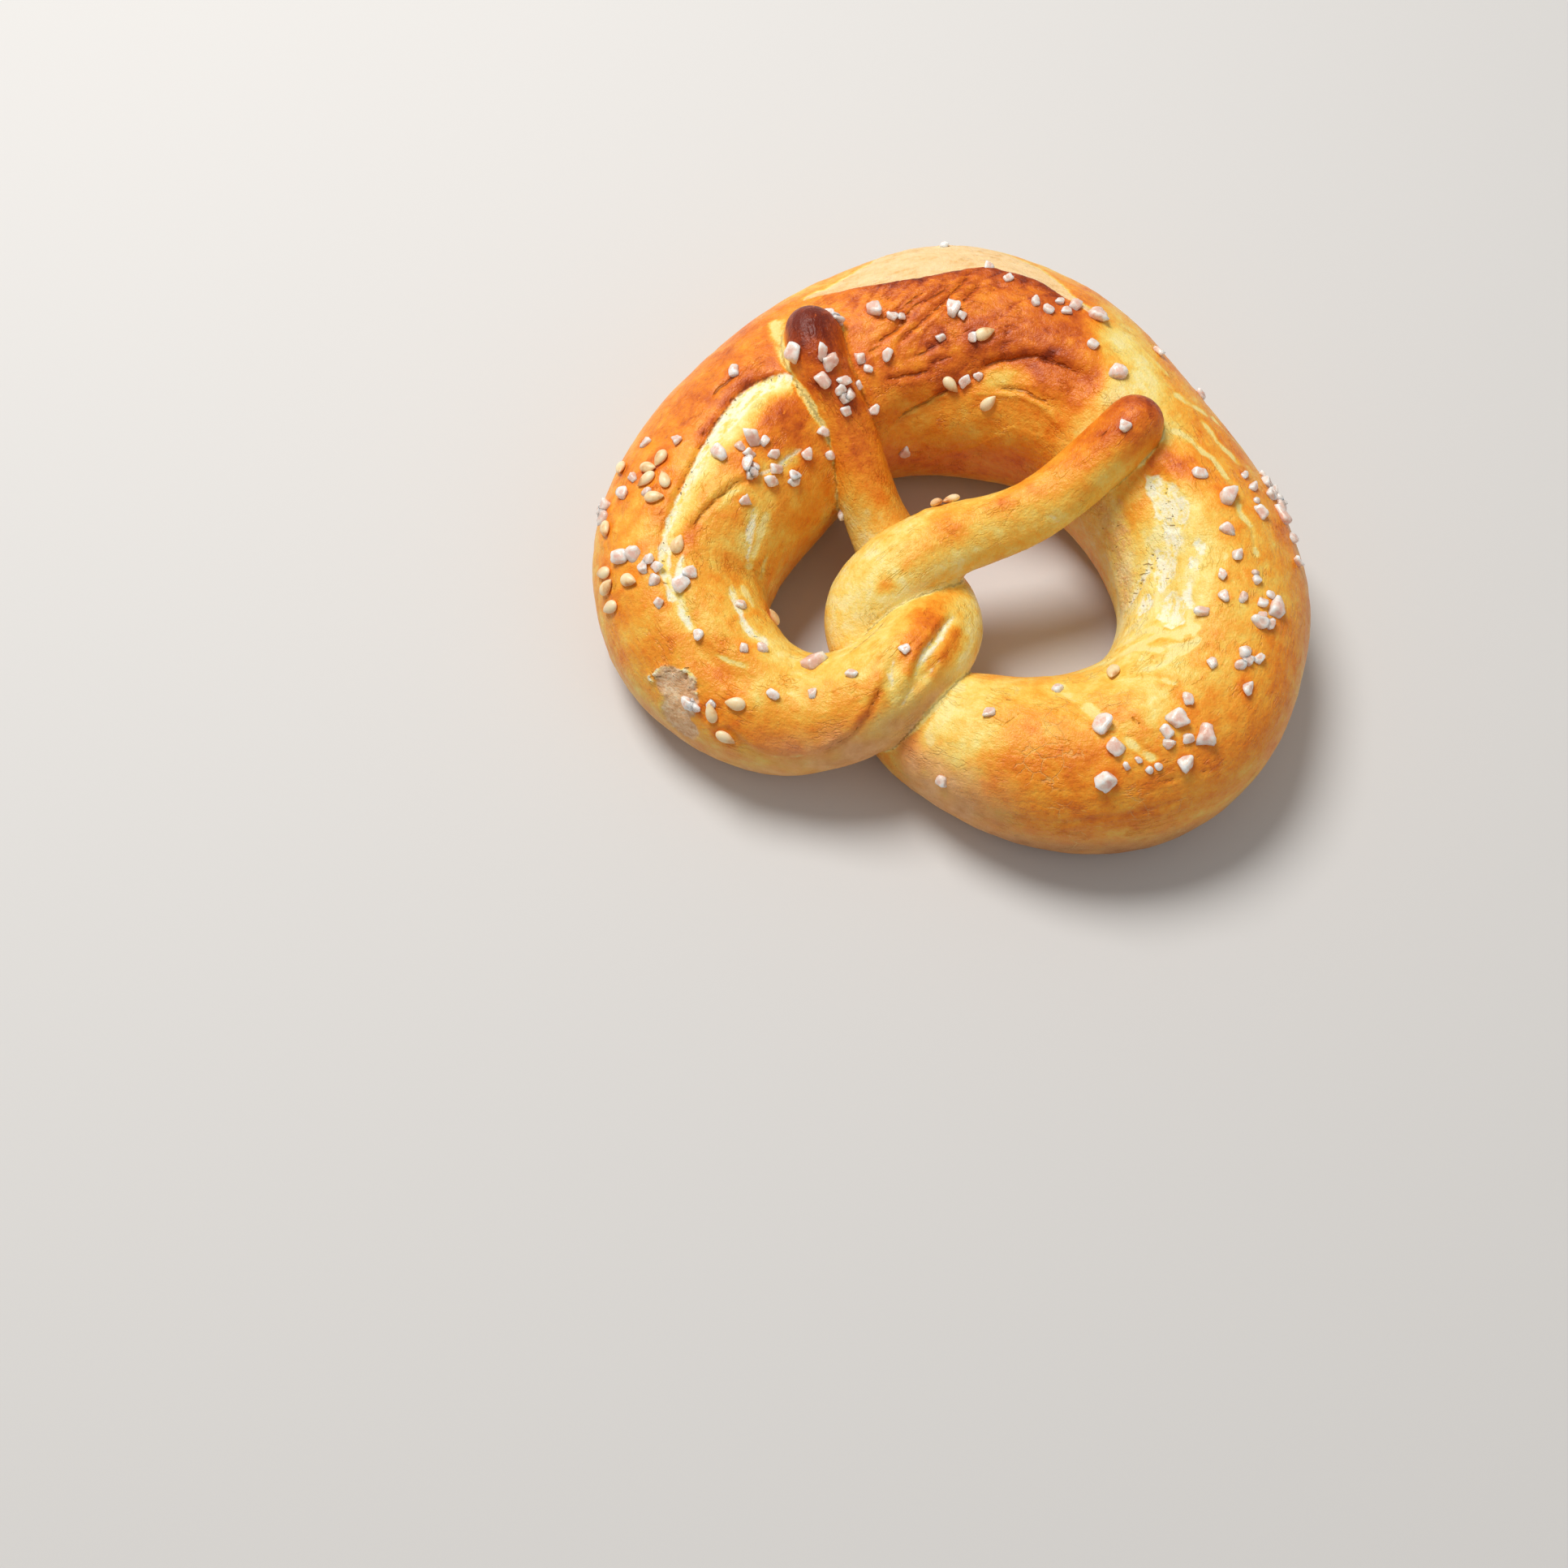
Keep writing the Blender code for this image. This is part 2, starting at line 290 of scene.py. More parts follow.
# ---- where on the rope each vertex lies
tree = BVHTree.FromPolygons(tube.tolist(), tube_faces)
S, T = np.zeros(len(P)), np.zeros(len(P))
for n, p in enumerate(P.tolist()):
    hit, _, face, _ = tree.find_nearest(p)
    i, j = divmod(face, SIDES)
    a, b, c = tube[i * SIDES + j], tube[(i + 1) * SIDES + j], tube[i * SIDES + (j + 1) % SIDES]
    ux, uy, uz = b[0] - a[0], b[1] - a[1], b[2] - a[2]
    vx, vy, vz = c[0] - a[0], c[1] - a[1], c[2] - a[2]
    qx, qy, qz = hit[0] - a[0], hit[1] - a[1], hit[2] - a[2]
    fu = (qx * ux + qy * uy + qz * uz) / max(ux * ux + uy * uy + uz * uz, 1e-9)
    fv = (qx * vx + qy * vy + qz * vz) / max(vx * vx + vy * vy + vz * vz, 1e-9)
    S[n] = ring_s[i] + min(max(fu, 0), 1) * (ring_s[i + 1] - ring_s[i])
    T[n] = ring_turn[j] + min(max(fv, 0), 1) * 2 * math.pi / SIDES
T = (T + math.pi) % (2 * math.pi) - math.pi

# ---- how close the nearest other strand is
GAP = np.full(len(P), 9.0)
PARTS = [(0, 40), (40, 96), (96, 160), (160, 222), (222, 290), (290, 332), (332, rope.length)]
REACH = 2.6
for low_s, high_s in PARTS:
    rows = [i for i in range(RINGS - 1) if low_s <= ring_s[i] <= high_s]
    faces = [f for i in rows for f in tube_faces[i * SIDES:(i + 1) * SIDES]]
    part_tree = BVHTree.FromPolygons(tube.tolist(), faces)
    box = tube[rows[0] * SIDES:(rows[-1] + 2) * SIDES]
    near = np.nonzero(((S < low_s - 14) | (S > high_s + 14))
                      & (P > box.min(0) - REACH).all(1) & (P < box.max(0) + REACH).all(1))[0]
    for n in near.tolist():
        found = part_tree.find_nearest(P[n].tolist(), REACH)
        if found[0] is not None and found[3] < GAP[n]:
            GAP[n] = found[3]

N = normals_of(P, TRI)
GIRTH = rope.section(S)[3]
DEG = np.degrees(T)

# ====================================================================  strokes
# Marks on the crust, each a line on the rope's surface through (mm along, degrees round).


def along_line(line, spacing=0.35):
    stations = np.array(line, float)
    if len(stations) == 1:
        stations = np.repeat(stations, 2, axis=0) + [[-0.01, 0], [0.01, 0]]
    whole = np.arange(len(stations))
    rough = rope.surface(stations[:, 0], np.radians(stations[:, 1]))
    total = np.linalg.norm(np.diff(rough, axis=0), axis=1).sum()
    count = max(int(total / spacing), 4)
    run = np.linspace(0, len(stations) - 1, count)
    # Catmull-Rom through the stations
    i = np.clip(run.astype(int), 0, len(stations) - 2)
    f = (run - i)[:, None]
    p1, p2 = stations[i], stations[i + 1]
    p0, p3 = stations[np.maximum(i - 1, 0)], stations[np.minimum(i + 2, len(stations) - 1)]
    curve = 0.5 * (2 * p1 + (p2 - p0) * f + (2 * p0 - 5 * p1 + 4 * p2 - p3) * f ** 2
                   + (3 * p1 - p0 - 3 * p2 + p3) * f ** 3)
    return rope.surface(curve[:, 0], np.radians(curve[:, 1])), curve[:, 0], total


P0, N0 = P.copy(), N.copy()


def near_line(line, reach, wobble=0.0, seed=3):
    """Vertices within reach of the line: index, distance, hand (+ right), share along, length."""
    pts, line_s, total = along_line(line)
    box_lo, box_hi = pts.min(0) - reach, pts.max(0) + reach
    idx = np.nonzero((S > line_s.min() - reach * 1.2 - 1) & (S < line_s.max() + reach * 1.2 + 1)
                     & (P0 > box_lo).all(1) & (P0 < box_hi).all(1))[0]
    if not len(idx):
        return idx, np.zeros(0), np.zeros(0), np.zeros(0), total
    dist = np.empty(len(idx))
    nearest = np.empty(len(idx), int)
    for a in range(0, len(idx), 4000):
        block = P0[idx[a:a + 4000]]
        gap = np.linalg.norm(block[:, None] - pts[None], axis=2)
        nearest[a:a + 4000] = gap.argmin(1)
        dist[a:a + 4000] = gap.min(1)
    way = np.gradient(pts, axis=0)[nearest]
    hand = np.sign(np.einsum("ij,ij->i", P0[idx] - pts[nearest], np.cross(way, N0[idx])))
    if wobble:
        shift = wobble * layered(P0[idx], 1.7, seed, 2)
        signed = dist * hand + shift
        ends = (nearest == 0) | (nearest == len(pts) - 1)
        dist = np.where(ends, dist + np.abs(shift) * 0.5, np.abs(signed))
        hand = np.where(signed >= 0, 1.0, -1.0)
    inside = dist < reach
    return idx[inside], dist[inside], hand[inside], nearest[inside] / max(len(pts) - 1, 1), total


def taper(share, total, end=2.0):
    return smooth(np.minimum(share, 1 - share) * total / end)


# ---------------------------------------------------------------- browning
# how deep the crust has browned, 0 bare cream .. 1 mahogany, around each line;
# (line, browning, reach in mm, weight)
ZONES = [
    # left arm, darkest at its tip
    ([(0, 0), (4, 0)], 1.04, 3.6, 3.0), ([(9, -20), (12, 10)], 0.76, 4.0, 1.8),
    ([(15, -10), (22, -10), (27, -10)], 0.68, 4.0, 2.0), ([(16, 70), (26, 60)], 0.44, 3.6, 1.4),
    ([(15, -80), (27, -75)], 0.60, 4.0, 1.0), ([(30, 0), (36, 0)], 0.34, 4.5, 2.0),
    ([(33, 50), (37, 40)], 0.10, 4.0, 2.0), ([(24, 25), (28, 14), (30, 5)], 0.66, 3.0, 2.2),
    # hidden start of the over-going strand
    ([(42, 0), (52, 0)], 0.30, 7.0, 1.0),
    # over-going strand
    ([(57, -5), (62, 2), (68, 12)], 0.50, 4.0, 1.5), ([(65, 12), (68, 10)], 0.60, 2.6, 1.5),
    ([(66, -24), (70, -34)], 0.56, 2.0, 1.5), ([(58, -60), (66, -62), (74, -62)], 0.10, 5.0, 2.6),
    ([(60, 45), (68, 50), (76, 45)], 0.30, 5.0, 1.4), ([(76, -25), (77, -14)], 0.60, 3.0, 1.6),
    ([(74, 12), (79, 14)], 0.36, 4.0, 1.4), ([(69, 40), (75, 48)], 0.12, 3.5, 2.0), ([(70, -55), (76, -62)], 0.14, 3.0, 1.8),
    # front left
    ([(80, -48), (84, -56), (89, -58)], 0.62, 3.0, 1.6), ([(79, -30), (82, -42)], 0.48, 4.0, 1.4),
    ([(82, 0), (90, 0)], 0.28, 5.0, 1.6), ([(82, 35), (92, 40)], 0.26, 5.0, 1.4),
    ([(96, 0), (94, -20), (92, -35)], 0.44, 5.0, 1.2), ([(102, -14), (105, -22)], 0.54, 2.8, 1.5),
    ([(84, -84), (94, -86), (104, -88)], 0.30, 4.6, 2.4), ([(96, 30), (100, 42)], 0.32, 5.0, 1.4),
    ([(106, -38), (110, -34)], 0.48, 4.0, 1.2), ([(94, -52), (97, -56)], 0.52, 3.5, 1.0),
    # left lobe
    ([(112, -26), (122, -24), (132, -26)], 0.44, 6.0, 1.6), ([(112, -50), (124, -50), (136, -50)], 0.46, 7.0, 1.3),
    ([(136, -32), (145, -34), (152, -28)], 0.64, 6.0, 2.2), ([(146, -16), (149, -12)], 0.62, 2.4, 1.6),
    ([(140, -14), (136, -13)], 0.56, 1.8, 1.2),
    ([(144, 9), (145, 16), (144, 26)], 0.68, 3.0, 3.0), ([(138, 14), (136, 24)], 0.52, 3.6, 1.4),
    ([(134, 12), (128, 16)], 0.46, 4.0, 1.2), ([(124, 16), (116, 18)], 0.42, 5.0, 1.3),
    ([(128, 34), (118, 38)], 0.34, 5.0, 1.3), ([(108, 6), (114, 14)], 0.34, 4.0, 1.3),
    ([(106, 18), (112, 30)], 0.36, 5.0, 1.2), ([(110, 60), (122, 60), (134, 58)], 0.38, 6.0, 1.4),
    ([(146, 48), (152, 58)], 0.46, 5.0, 1.2), ([(112, -80), (140, -80)], 0.40, 6.0, 1.2),
    # belly
    ([(158, -14), (164, -10), (168, 0)], 0.58, 5.0, 1.6), ([(160, 30), (164, 40)], 0.62, 5.0, 1.3),
    ([(172, -12), (180, -10), (190, -8)], 0.64, 6.0, 2.0), ([(176, -22), (184, -22), (191, -20)], 0.76, 2.2, 1.8),
    ([(170, 14), (178, 16), (184, 14)], 0.60, 6.0, 1.8), ([(168, 34), (176, 36)], 0.68, 4.0, 1.8),
    ([(184, 28), (190, 12), (198, 2)], 0.70, 4.0, 2.0), ([(196, -10), (201, -6)], 0.64, 4.0, 1.6),
    ([(180, 42), (186, 34), (192, 20), (198, 14)], 0.66, 1.8, 1.8), ([(202, 8), (207, 4)], 0.66, 3.4, 1.4),
    ([(199, 30), (204, 30), (208, 28)], 0.74, 3.0, 2.2), ([(172, 60), (180, 56), (188, 52)], 0.50, 3.0, 1.6), ([(191, 38), (195, 36)], 0.30, 1.8, 2.0),
    # the last zone on this line, on the belly's inner wall down in the hole, is browner partly as painted shade inside
    # the hole
    ([(192, 56), (198, 52), (204, 48)], 0.44, 3.6, 1.4), ([(166, 70), (180, 68), (196, 64)], 0.38, 4.0, 2.2), ([(164, 92), (180, 95), (200, 92)], 0.60, 4.0, 2.0),
    ([(166, -56), (178, -64), (192, -58)], 0.34, 4.0, 2.4), ([(166, -85), (190, -85)], 0.42, 7.0, 1.3),
    ([(208, -30), (204, -34)], 0.30, 3.5, 1.4),
    # right shoulder: cream round the arm's tip
    ([(204, -14), (209, -10), (214, -2)], 0.07, 2.8, 3.2), ([(211, 2), (213, 16), (212, 34)], 0.08, 2.6, 3.0),
    ([(219, 4), (219, 16)], 0.14, 3.0, 2.2), ([(216, -8), (222, 0)], 0.20, 3.0, 2.0), ([(206, 40), (212, 48)], 0.40, 4.0, 1.3),
    # right lobe
    ([(222, -34), (234, -34), (246, -34)], 0.42, 6.0, 1.6), ([(220, -56), (236, -58), (252, -60)], 0.48, 7.0, 1.4),
    ([(225, 13), (228, 10)], 0.74, 2.2, 1.8), ([(234, 0), (238, 5)], 0.70, 3.0, 1.6),
    ([(227, 0), (231, 8)], 0.46, 3.5, 1.3), ([(229, 36), (230, 48)], 0.56, 2.0, 1.6),
    ([(240, -6), (246, -4), (252, -6)], 0.38, 5.0, 1.6), ([(243, 12), (248, 10)], 0.26, 4.0, 1.6), ([(236, 14), (244, 22), (252, 24)], 0.14, 3.6, 2.4), ([(236, 40), (246, 52), (254, 54)], 0.10, 3.4, 2.6),
    ([(226, 66), (234, 72), (242, 76)], 0.16, 6.0, 1.8), ([(246, 70), (256, 78)], 0.08, 6.0, 2.2),
    ([(256, 40), (260, 30), (262, 15)], 0.28, 4.6, 2.4), ([(264, 55), (270, 50), (276, 48)], 0.24, 5.0, 2.4),
    ([(256, 0), (262, -4), (266, -8)], 0.34, 4.5, 1.5), ([(256, -40), (264, -50)], 0.50, 6.0, 1.3),
    # front right
    ([(267, -18), (269, -10)], 0.52, 2.8, 1.6), ([(276, 3), (279, 8)], 0.50, 2.4, 1.5), ([(272, 4), (283, 4)], 0.28, 5.0, 1.6),
    ([(274, -40), (281, -34), (288, -30)], 0.50, 5.0, 1.6), ([(284, -20), (291, -28), (292, -40)], 0.60, 3.4, 1.8),
    ([(272, 26), (280, 30), (288, 30)], 0.26, 5.0, 1.8), ([(289, 8), (291, -6)], 0.50, 4.0, 1.4),
    ([(294, 36), (298, 24), (297, 5), (298, -20)], 0.28, 3.6, 2.2), ([(272, -66), (282, -66), (290, -64)], 0.50, 5.0, 1.3),
    ([(301, 20), (302, 0), (302, -24)], 0.20, 2.8, 2.0), ([(299, -50), (301, -66)], 0.26, 3.6, 2.4),
    ([(262, -86), (280, -86), (296, -86)], 0.42, 5.0, 1.4),
    # the strand below, and its rise on the far side of the knot
    ([(306, 0), (318, 0)], 0.30, 8.0, 0.8), ([(322, -30), (328, -30), (332, -34)], 0.16, 5.0, 3.2),
    ([(324, 20), (330, 26)], 0.16, 5.0, 3.0), ([(325, -10), (330, -4)], 0.13, 4.0, 2.6), ([(332, 12), (339, 14)], 0.24, 3.4, 2.4), ([(334, 18), (335, 22)], 0.74, 0.9, 4.5),
    ([(334, -10), (340, -24)], 0.20, 4.0, 1.8), ([(334, 40), (342, 50)], 0.10, 3.6, 1.8), ([(340, 10), (344, 4)], 0.56, 2.6, 2.0),
    ([(345, -8), (345, 4)], 0.66, 2.0, 2.0), ([(338, 22), (341, 22)], 0.52, 1.5, 1.4),
    ([(345, -45), (352, -60)], 0.22, 3.4, 1.6), ([(350, 10), (356, 0)], 0.34, 3.2, 1.3),
    ([(346, 50), (354, 60)], 0.20, 4.0, 1.6),
    # right arm, browned towards its tip
    ([(360, 0), (366, 0)], 0.40, 4.0, 1.4), ([(362, 60), (372, 66)], 0.26, 3.6, 1.6),
    ([(369, -4), (375, -6)], 0.64, 3.2, 1.8), ([(378, -10), (383, -5)], 0.82, 3.8, 2.4),
    ([(381, -50), (384, -10)], 0.96, 2.4, 2.0), ([(370, -60), (378, -60)], 0.50, 3.2, 1.4),
    ([(376, 40), (380, 50)], 0.52, 3.0, 1.3),
]

# ---------------------------------------------------------------- long splits
# One crisp edge, then bare crumb that fades into the crust on the far side:
# (edge, side of it that is bare, widths along it, how far it fades, how bare)
BANDS = [
    ([(118, -9.5), (121.5, -10), (124.5, -8.5), (127.5, -7.5), (131, -7.5), (133.5, -8), (136.5, -9), (140, -10),
      (142.5, -10.5), (145, -10), (148, -7), (150.5, -1), (152.5, 7)], +1,
     [0.5, 0.8, 1.0, 1.3, 1.6, 2.0, 2.7, 3.2, 3.3, 3.2, 2.8, 2.2, 1.3], 3.4, 1.0),
    ([(162, -36), (165, -32), (168, -28), (172, -22), (177, -20), (180, -21.5), (183.5, -24.5), (188.5, -25.5),
      (193, -25.5), (197, -20), (201, -20)], -1, [0.3, 1.6, 4.5, 9.0, 11.0, 11.0, 9.5, 6.5, 3.5, 1.4, 0.5], 0.8, 1.0),
]
# ---------------------------------------------------------------- tears, bare crumb
# (line, half widths along it, depth, how bare 0..1, how many dark dashes)
CRUMB = [
    ([(120, -8.5), (117, -9), (114, -8.5), (111, -10)], [0.9, 0.6], 0.12, 1.0, 0.4),
    ([(118, 3), (115.5, 0), (113, -4), (110.5, -6), (108.5, -8), (106, -10)], [0.5, 0.8, 0.5], 0.12, 0.95, 0.4),
    ([(226, 28), (229.5, 27), (231.5, 27), (234.5, 28), (237, 31)], [1.3, 2.1, 2.3, 2.7, 2.2], 0.30, 1.0, 0.6),
    ([(237, 31), (239.5, 35), (241, 38)], [2.2, 1.0, 1.0], 0.2, 1.0, 0.5),
    ([(240, 38), (242, 42), (245.5, 44), (248.5, 45)], [1.3, 2.0, 2.0, 1.3], 0.25, 1.1, 0.5),
    ([(250.5, 36), (253.5, 37), (255.5, 32), (256.5, 26)], [1.3, 2.1, 1.8, 1.2], 0.22, 1.1, 0.3),
    ([(240.5, 18), (243, 17)], [1.1, 1.0], 0.15, 1.0, 0.3), ([(244, 24), (246, 21)], [1.0, 0.9], 0.15, 0.95, 0.2),
    ([(238.5, 45), (241.5, 55), (246, 67), (249.5, 78)], [0.4, 0.6, 0.7, 0.4], 0.15, 0.8, 0.9),
    ([(247.5, 25), (251, 26), (254, 21)], [0.45, 0.55, 0.4], 0.15, 0.9, 0.4),
    ([(249.5, 52), (252, 58), (254.5, 59)], [1.0, 1.5, 1.0], 0.15, 0.95, 0.5),
    ([(62.5, -21), (64.5, -17), (66.5, -18), (68.5, -19), (70, -25), (71, -33)], [0.25, 0.5, 0.65, 0.70, 0.6, 0.3], 0.30, 0.85, 0.15),
    ([(68, -34), (69.5, -36), (71, -38), (73, -45), (73.5, -48)], [0.2, 0.4, 0.4, 0.4, 0.2], 0.20, 0.7, 0.3),
    ([(71, -2), (72.5, -9), (73, -20), (73.5, -26)], [0.25, 0.45, 0.45, 0.25], 0.22, 0.8, 0.1),
    ([(135, 25), (137, 30), (139.5, 33), (143.5, 36)], [0.3, 0.5, 0.6, 0.4], 0.20, 0.75, 0.8),
    ([(360.5, 50), (361.5, 73)], [0.3], 0.08, 0.9, 0.0),
    ([(104, 27), (100.5, 27), (97.5, 30), (96.5, 25)], [0.6, 0.8, 0.7, 0.4], 0.12, 0.95, 0.6),
    ([(111, 33), (107.5, 31), (104, 29)], [0.5, 0.75, 0.6], 0.12, 0.95, 0.5),
    ([(131, 36), (126, 41), (120.5, 47)], [0.45, 0.7, 0.5], 0.10, 0.85, 0.4),
]
# ---------------------------------------------------------------- stretched, cream-coloured dough
# (line, half width, how pale 0..1, height: + ridge, - groove)
PALE = [
    ([(112, -5), (107, -9), (103.5, -8)], 0.7, 0.8, 0.0),
    ([(108.5, -13), (106.5, -12), (105.5, -11)], 0.45, 0.6, 0.0),
    ([(104.5, -15), (101.5, -15), (99.5, -15)], 0.3, 0.6, -0.1), ([(104, -8), (100.5, -5), (98, -2), (96, 4)], 0.32, 0.65, -0.12),
    ([(133, 42), (129, 46), (126, 48), (120, 52)], 0.55, 0.9, -0.08), ([(126, 19), (129.5, 19), (133.5, 27)], 0.45, 0.8, 0.0),
    ([(122, 44), (115, 54)], 0.55, 0.8, -0.08), ([(113, 44), (108, 44), (104, 46)], 0.6, 0.75, 0.1), ([(128, 58), (120, 62), (112, 64)], 0.5, 0.7, -0.06),
    ([(90, 11), (87.5, 14), (85, 16), (82.5, 12), (80.5, 7)], 0.34, 0.65, -0.1),
    ([(89, -7), (86.5, -6), (84.5, -8), (81.5, -12)], 0.30, 0.6, -0.08),
    ([(92, -48), (90.5, -52)], 0.25, 0.5, 0.05), ([(89.5, -73), (88, -70), (84, -66)], 0.3, 0.7, 0.05),
    ([(94, -66), (89.5, -80), (84.5, -79), (80.5, -68)], 1.5, 0.5, 0.0),
    ([(73.5, -50), (76, -54), (79, -60), (82, -66)], 1.0, 0.45, 0.0), ([(65, -63), (68, -68), (71, -74), (74, -66)], 2.2, 0.55, 0.0),
    ([(331.5, 28), (328.5, 0), (325.5, -30)], 1.3, 0.7, 0.0), ([(343, -62), (346.5, -60), (350, -60)], 0.7, 0.55, 0.10),
    ([(330.5, 27), (333, 42), (337, 58), (340, 62)], 1.0, 0.75, 0.0),
    ([(34, 47), (32.5, 29), (32.5, 3)], 1.0, 0.55, 0.0),
    ([(202.5, -21), (205.5, -17), (208, -16), (211, -15), (213.5, -12), (216, -10)], 0.9, 0.55, 0.0),
    ([(203.5, -22), (207, -24), (211.5, -27), (214.5, -27)], 0.4, 0.7, 0.12),
    ([(211, -5), (211, 6), (211.5, 16), (211, 28)], 1.2, 0.55, 0.0), ([(217, -6), (219.5, 2), (221, 10)], 1.1, 0.5, 0.0),
    ([(216, -19), (219, -26), (222.5, -38)], 0.55, 0.95, -0.1),
    ([(221, -41), (223, -41), (225.5, -47), (228.5, -58)], 0.45, 0.85, -0.1), ([(221, -26), (226.5, -27), (228.5, -31), (231, -34)], 0.45, 0.9, -0.1),
    ([(219, -14), (221.5, -11)], 0.3, 0.6, -0.08),
    ([(221, 2), (223, -6), (227, -10), (228.5, -14), (232, -14), (233.5, -15.5)], 0.46, 1.0, -0.12),
    ([(234.5, -16), (237.5, -11), (240.5, -15), (243, -13), (245, -16)], 0.45, 0.95, -0.12), ([(243, 4), (246.5, 5)], 0.45, 0.8, -0.05),
    ([(241.5, 19), (244.5, 18), (246, 23)], 1.2, 0.55, 0.0), ([(247.5, 27), (251, 25), (254.5, 21), (257, 22)], 1.2, 0.5, 0.0),
    ([(261, 57), (259, 50), (258.5, 42), (259.5, 28), (259, 17)], 0.7, 0.9, -0.15),
    ([(266, 26), (263.5, 22), (261, 17), (259, 9)], 0.55, 0.9, -0.12), ([(257, 15), (259.5, 14)], 0.45, 0.75, 0.0),
    ([(273, 31), (269.5, 28), (266, 20)], 0.6, 0.8, -0.1), ([(261, 69), (257, 64), (256, 52), (254, 47)], 0.6, 0.9, -0.12),
    ([(269.5, 19), (268.5, 13), (268, 6)], 0.35, 0.8, 0.0), ([(266, 24), (262.5, 16)], 0.35, 0.7, 0.0),
    ([(289, 44), (285, 26), (282.5, 12), (279.5, -4)], 0.8, 1.0, -0.16), ([(279.5, -4), (278, -14), (276.5, -22), (275.5, -28)], 0.6, 0.85, -0.14),
    ([(304, 40), (302.5, 16), (302.5, -7), (303, -27), (303, -46)], 1.2, 0.75, 0.0),
    ([(293, -37), (291, -31), (290, -24)], 0.2, 0.45, -0.06), ([(290, -24), (288, -28), (285.5, -39)], 0.2, 0.45, -0.06),
    ([(292.5, -25), (291, -20), (289, -27)], 0.2, 0.45, -0.06), ([(282, -44), (279, -42), (276, -46)], 0.2, 0.4, -0.05),
    ([(158.5, -33), (156.5, -23), (155, -13), (154, -2), (153, 8)], 1.3, 0.75, 0.0),
    ([(186, 50), (189.5, 48.5), (194, 46), (197.5, 43), (200, 43), (203, 43), (206, 45), (209, 49)], 0.30, 0.5, 0.15),
    ([(164.5, 69), (167.5, 65), (170.5, 62), (175, 58), (179, 53), (183, 49)], 0.30, 0.4, 0.12),
    ([(189, 40), (192.5, 39), (195.5, 36)], 1.3, 0.45, 0.0),
    ([(264.5, 55), (263.5, 30), (259.5, 12)], 0.50, 1.05, -0.10), ([(276.5, 58), (267, 51), (260, 37), (258.5, 23), (256.5, 12)], 0.55, 1.1, -0.12),
    ([(270.5, 28), (262.5, 17), (258, 12)], 0.40, 1.0, -0.10), ([(252.5, 26), (256.5, 21), (259.5, 12)], 0.42, 1.0, -0.08),
    ([(239, 19), (244, 19), (249, 24), (253.5, 24)], 0.45, 1.0, -0.08), ([(276.5, 28), (270.5, 20), (267.5, 4)], 0.35, 0.9, -0.08),
    ([(246, -1), (250, -9)], 0.30, 0.9, -0.06),
]
# ---------------------------------------------------------------- browned lips, patches
# (line, half width, how much browner)
BROWN = [
    ([(63.5, -13), (66, -10), (68.5, -12), (70, -17), (71.5, -27)], 0.7, 0.20), ([(63.5, -27), (66.5, -27), (68.5, -32), (70, -40)], 0.8, 0.20),
    ([(59, -7), (63, 4), (66, 12), (68.5, 13)], 1.6, 0.10), ([(69, -38), (70, -45)], 1.0, 0.20), ([(63.5, -31), (60.5, -35)], 1.5, 0.10),
    ([(69.5, -3), (71.5, -6)], 0.8, 0.12), ([(64, -6), (69, -12), (72, -20)], 2.0, 0.16), ([(63, -34), (67, -40), (70, -50)], 1.6, 0.18),
    ([(73, -2), (74.5, -20), (76, -30), (79, -46)], 0.9, 0.16),
    ([(95, -44), (92.5, -52), (89, -64), (84, -60), (80.5, -50)], 1.2, 0.12),
    ([(133.5, -11), (136.5, -12), (140, -13), (142.5, -13.5), (145, -13), (148, -10)], 0.7, 0.12),
    ([(164, -29), (168, -25), (172, -18), (177, -16), (181.5, -18), (187, -22), (192, -22), (196, -17)], 1.4, 0.13),
    ([(187.5, 34), (189.5, 28), (193, 22), (198.5, 16), (203.5, 13)], 0.8, 0.04),
    ([(270, 21), (268.5, 11), (267.5, 2)], 1.0, 0.12), ([(277.5, 8), (276.5, -1), (275, -13)], 0.6, 0.14),
    ([(340, 2), (342, 3)], 1.6, 0.12), ([(344.5, 7), (344.8, -6), (345, -19)], 1.3, 0.12), ([(339.5, 6), (338, 16), (337.5, 25)], 1.5, 0.10),
    ([(343, 30), (344, 33)], 1.2, 0.08), ([(350.5, -19), (354, -11), (357, -18)], 0.9, 0.12),
    ([(226, 13), (227.5, 8)], 0.7, 0.26), ([(227.5, -3), (228.5, -3)], 0.9, 0.14), ([(234, 2), (237, 6)], 1.4, 0.12),
    ([(227.5, 38), (230.5, 38)], 1.2, 0.26), ([(231, 48), (232, 50)], 1.0, 0.16), ([(223, 25), (225, 19)], 0.8, 0.2),
    ([(145.5, 7), (145.5, 12)], 1.6, 0.10), ([(145.5, 25), (146, 30)], 1.4, 0.12),
]
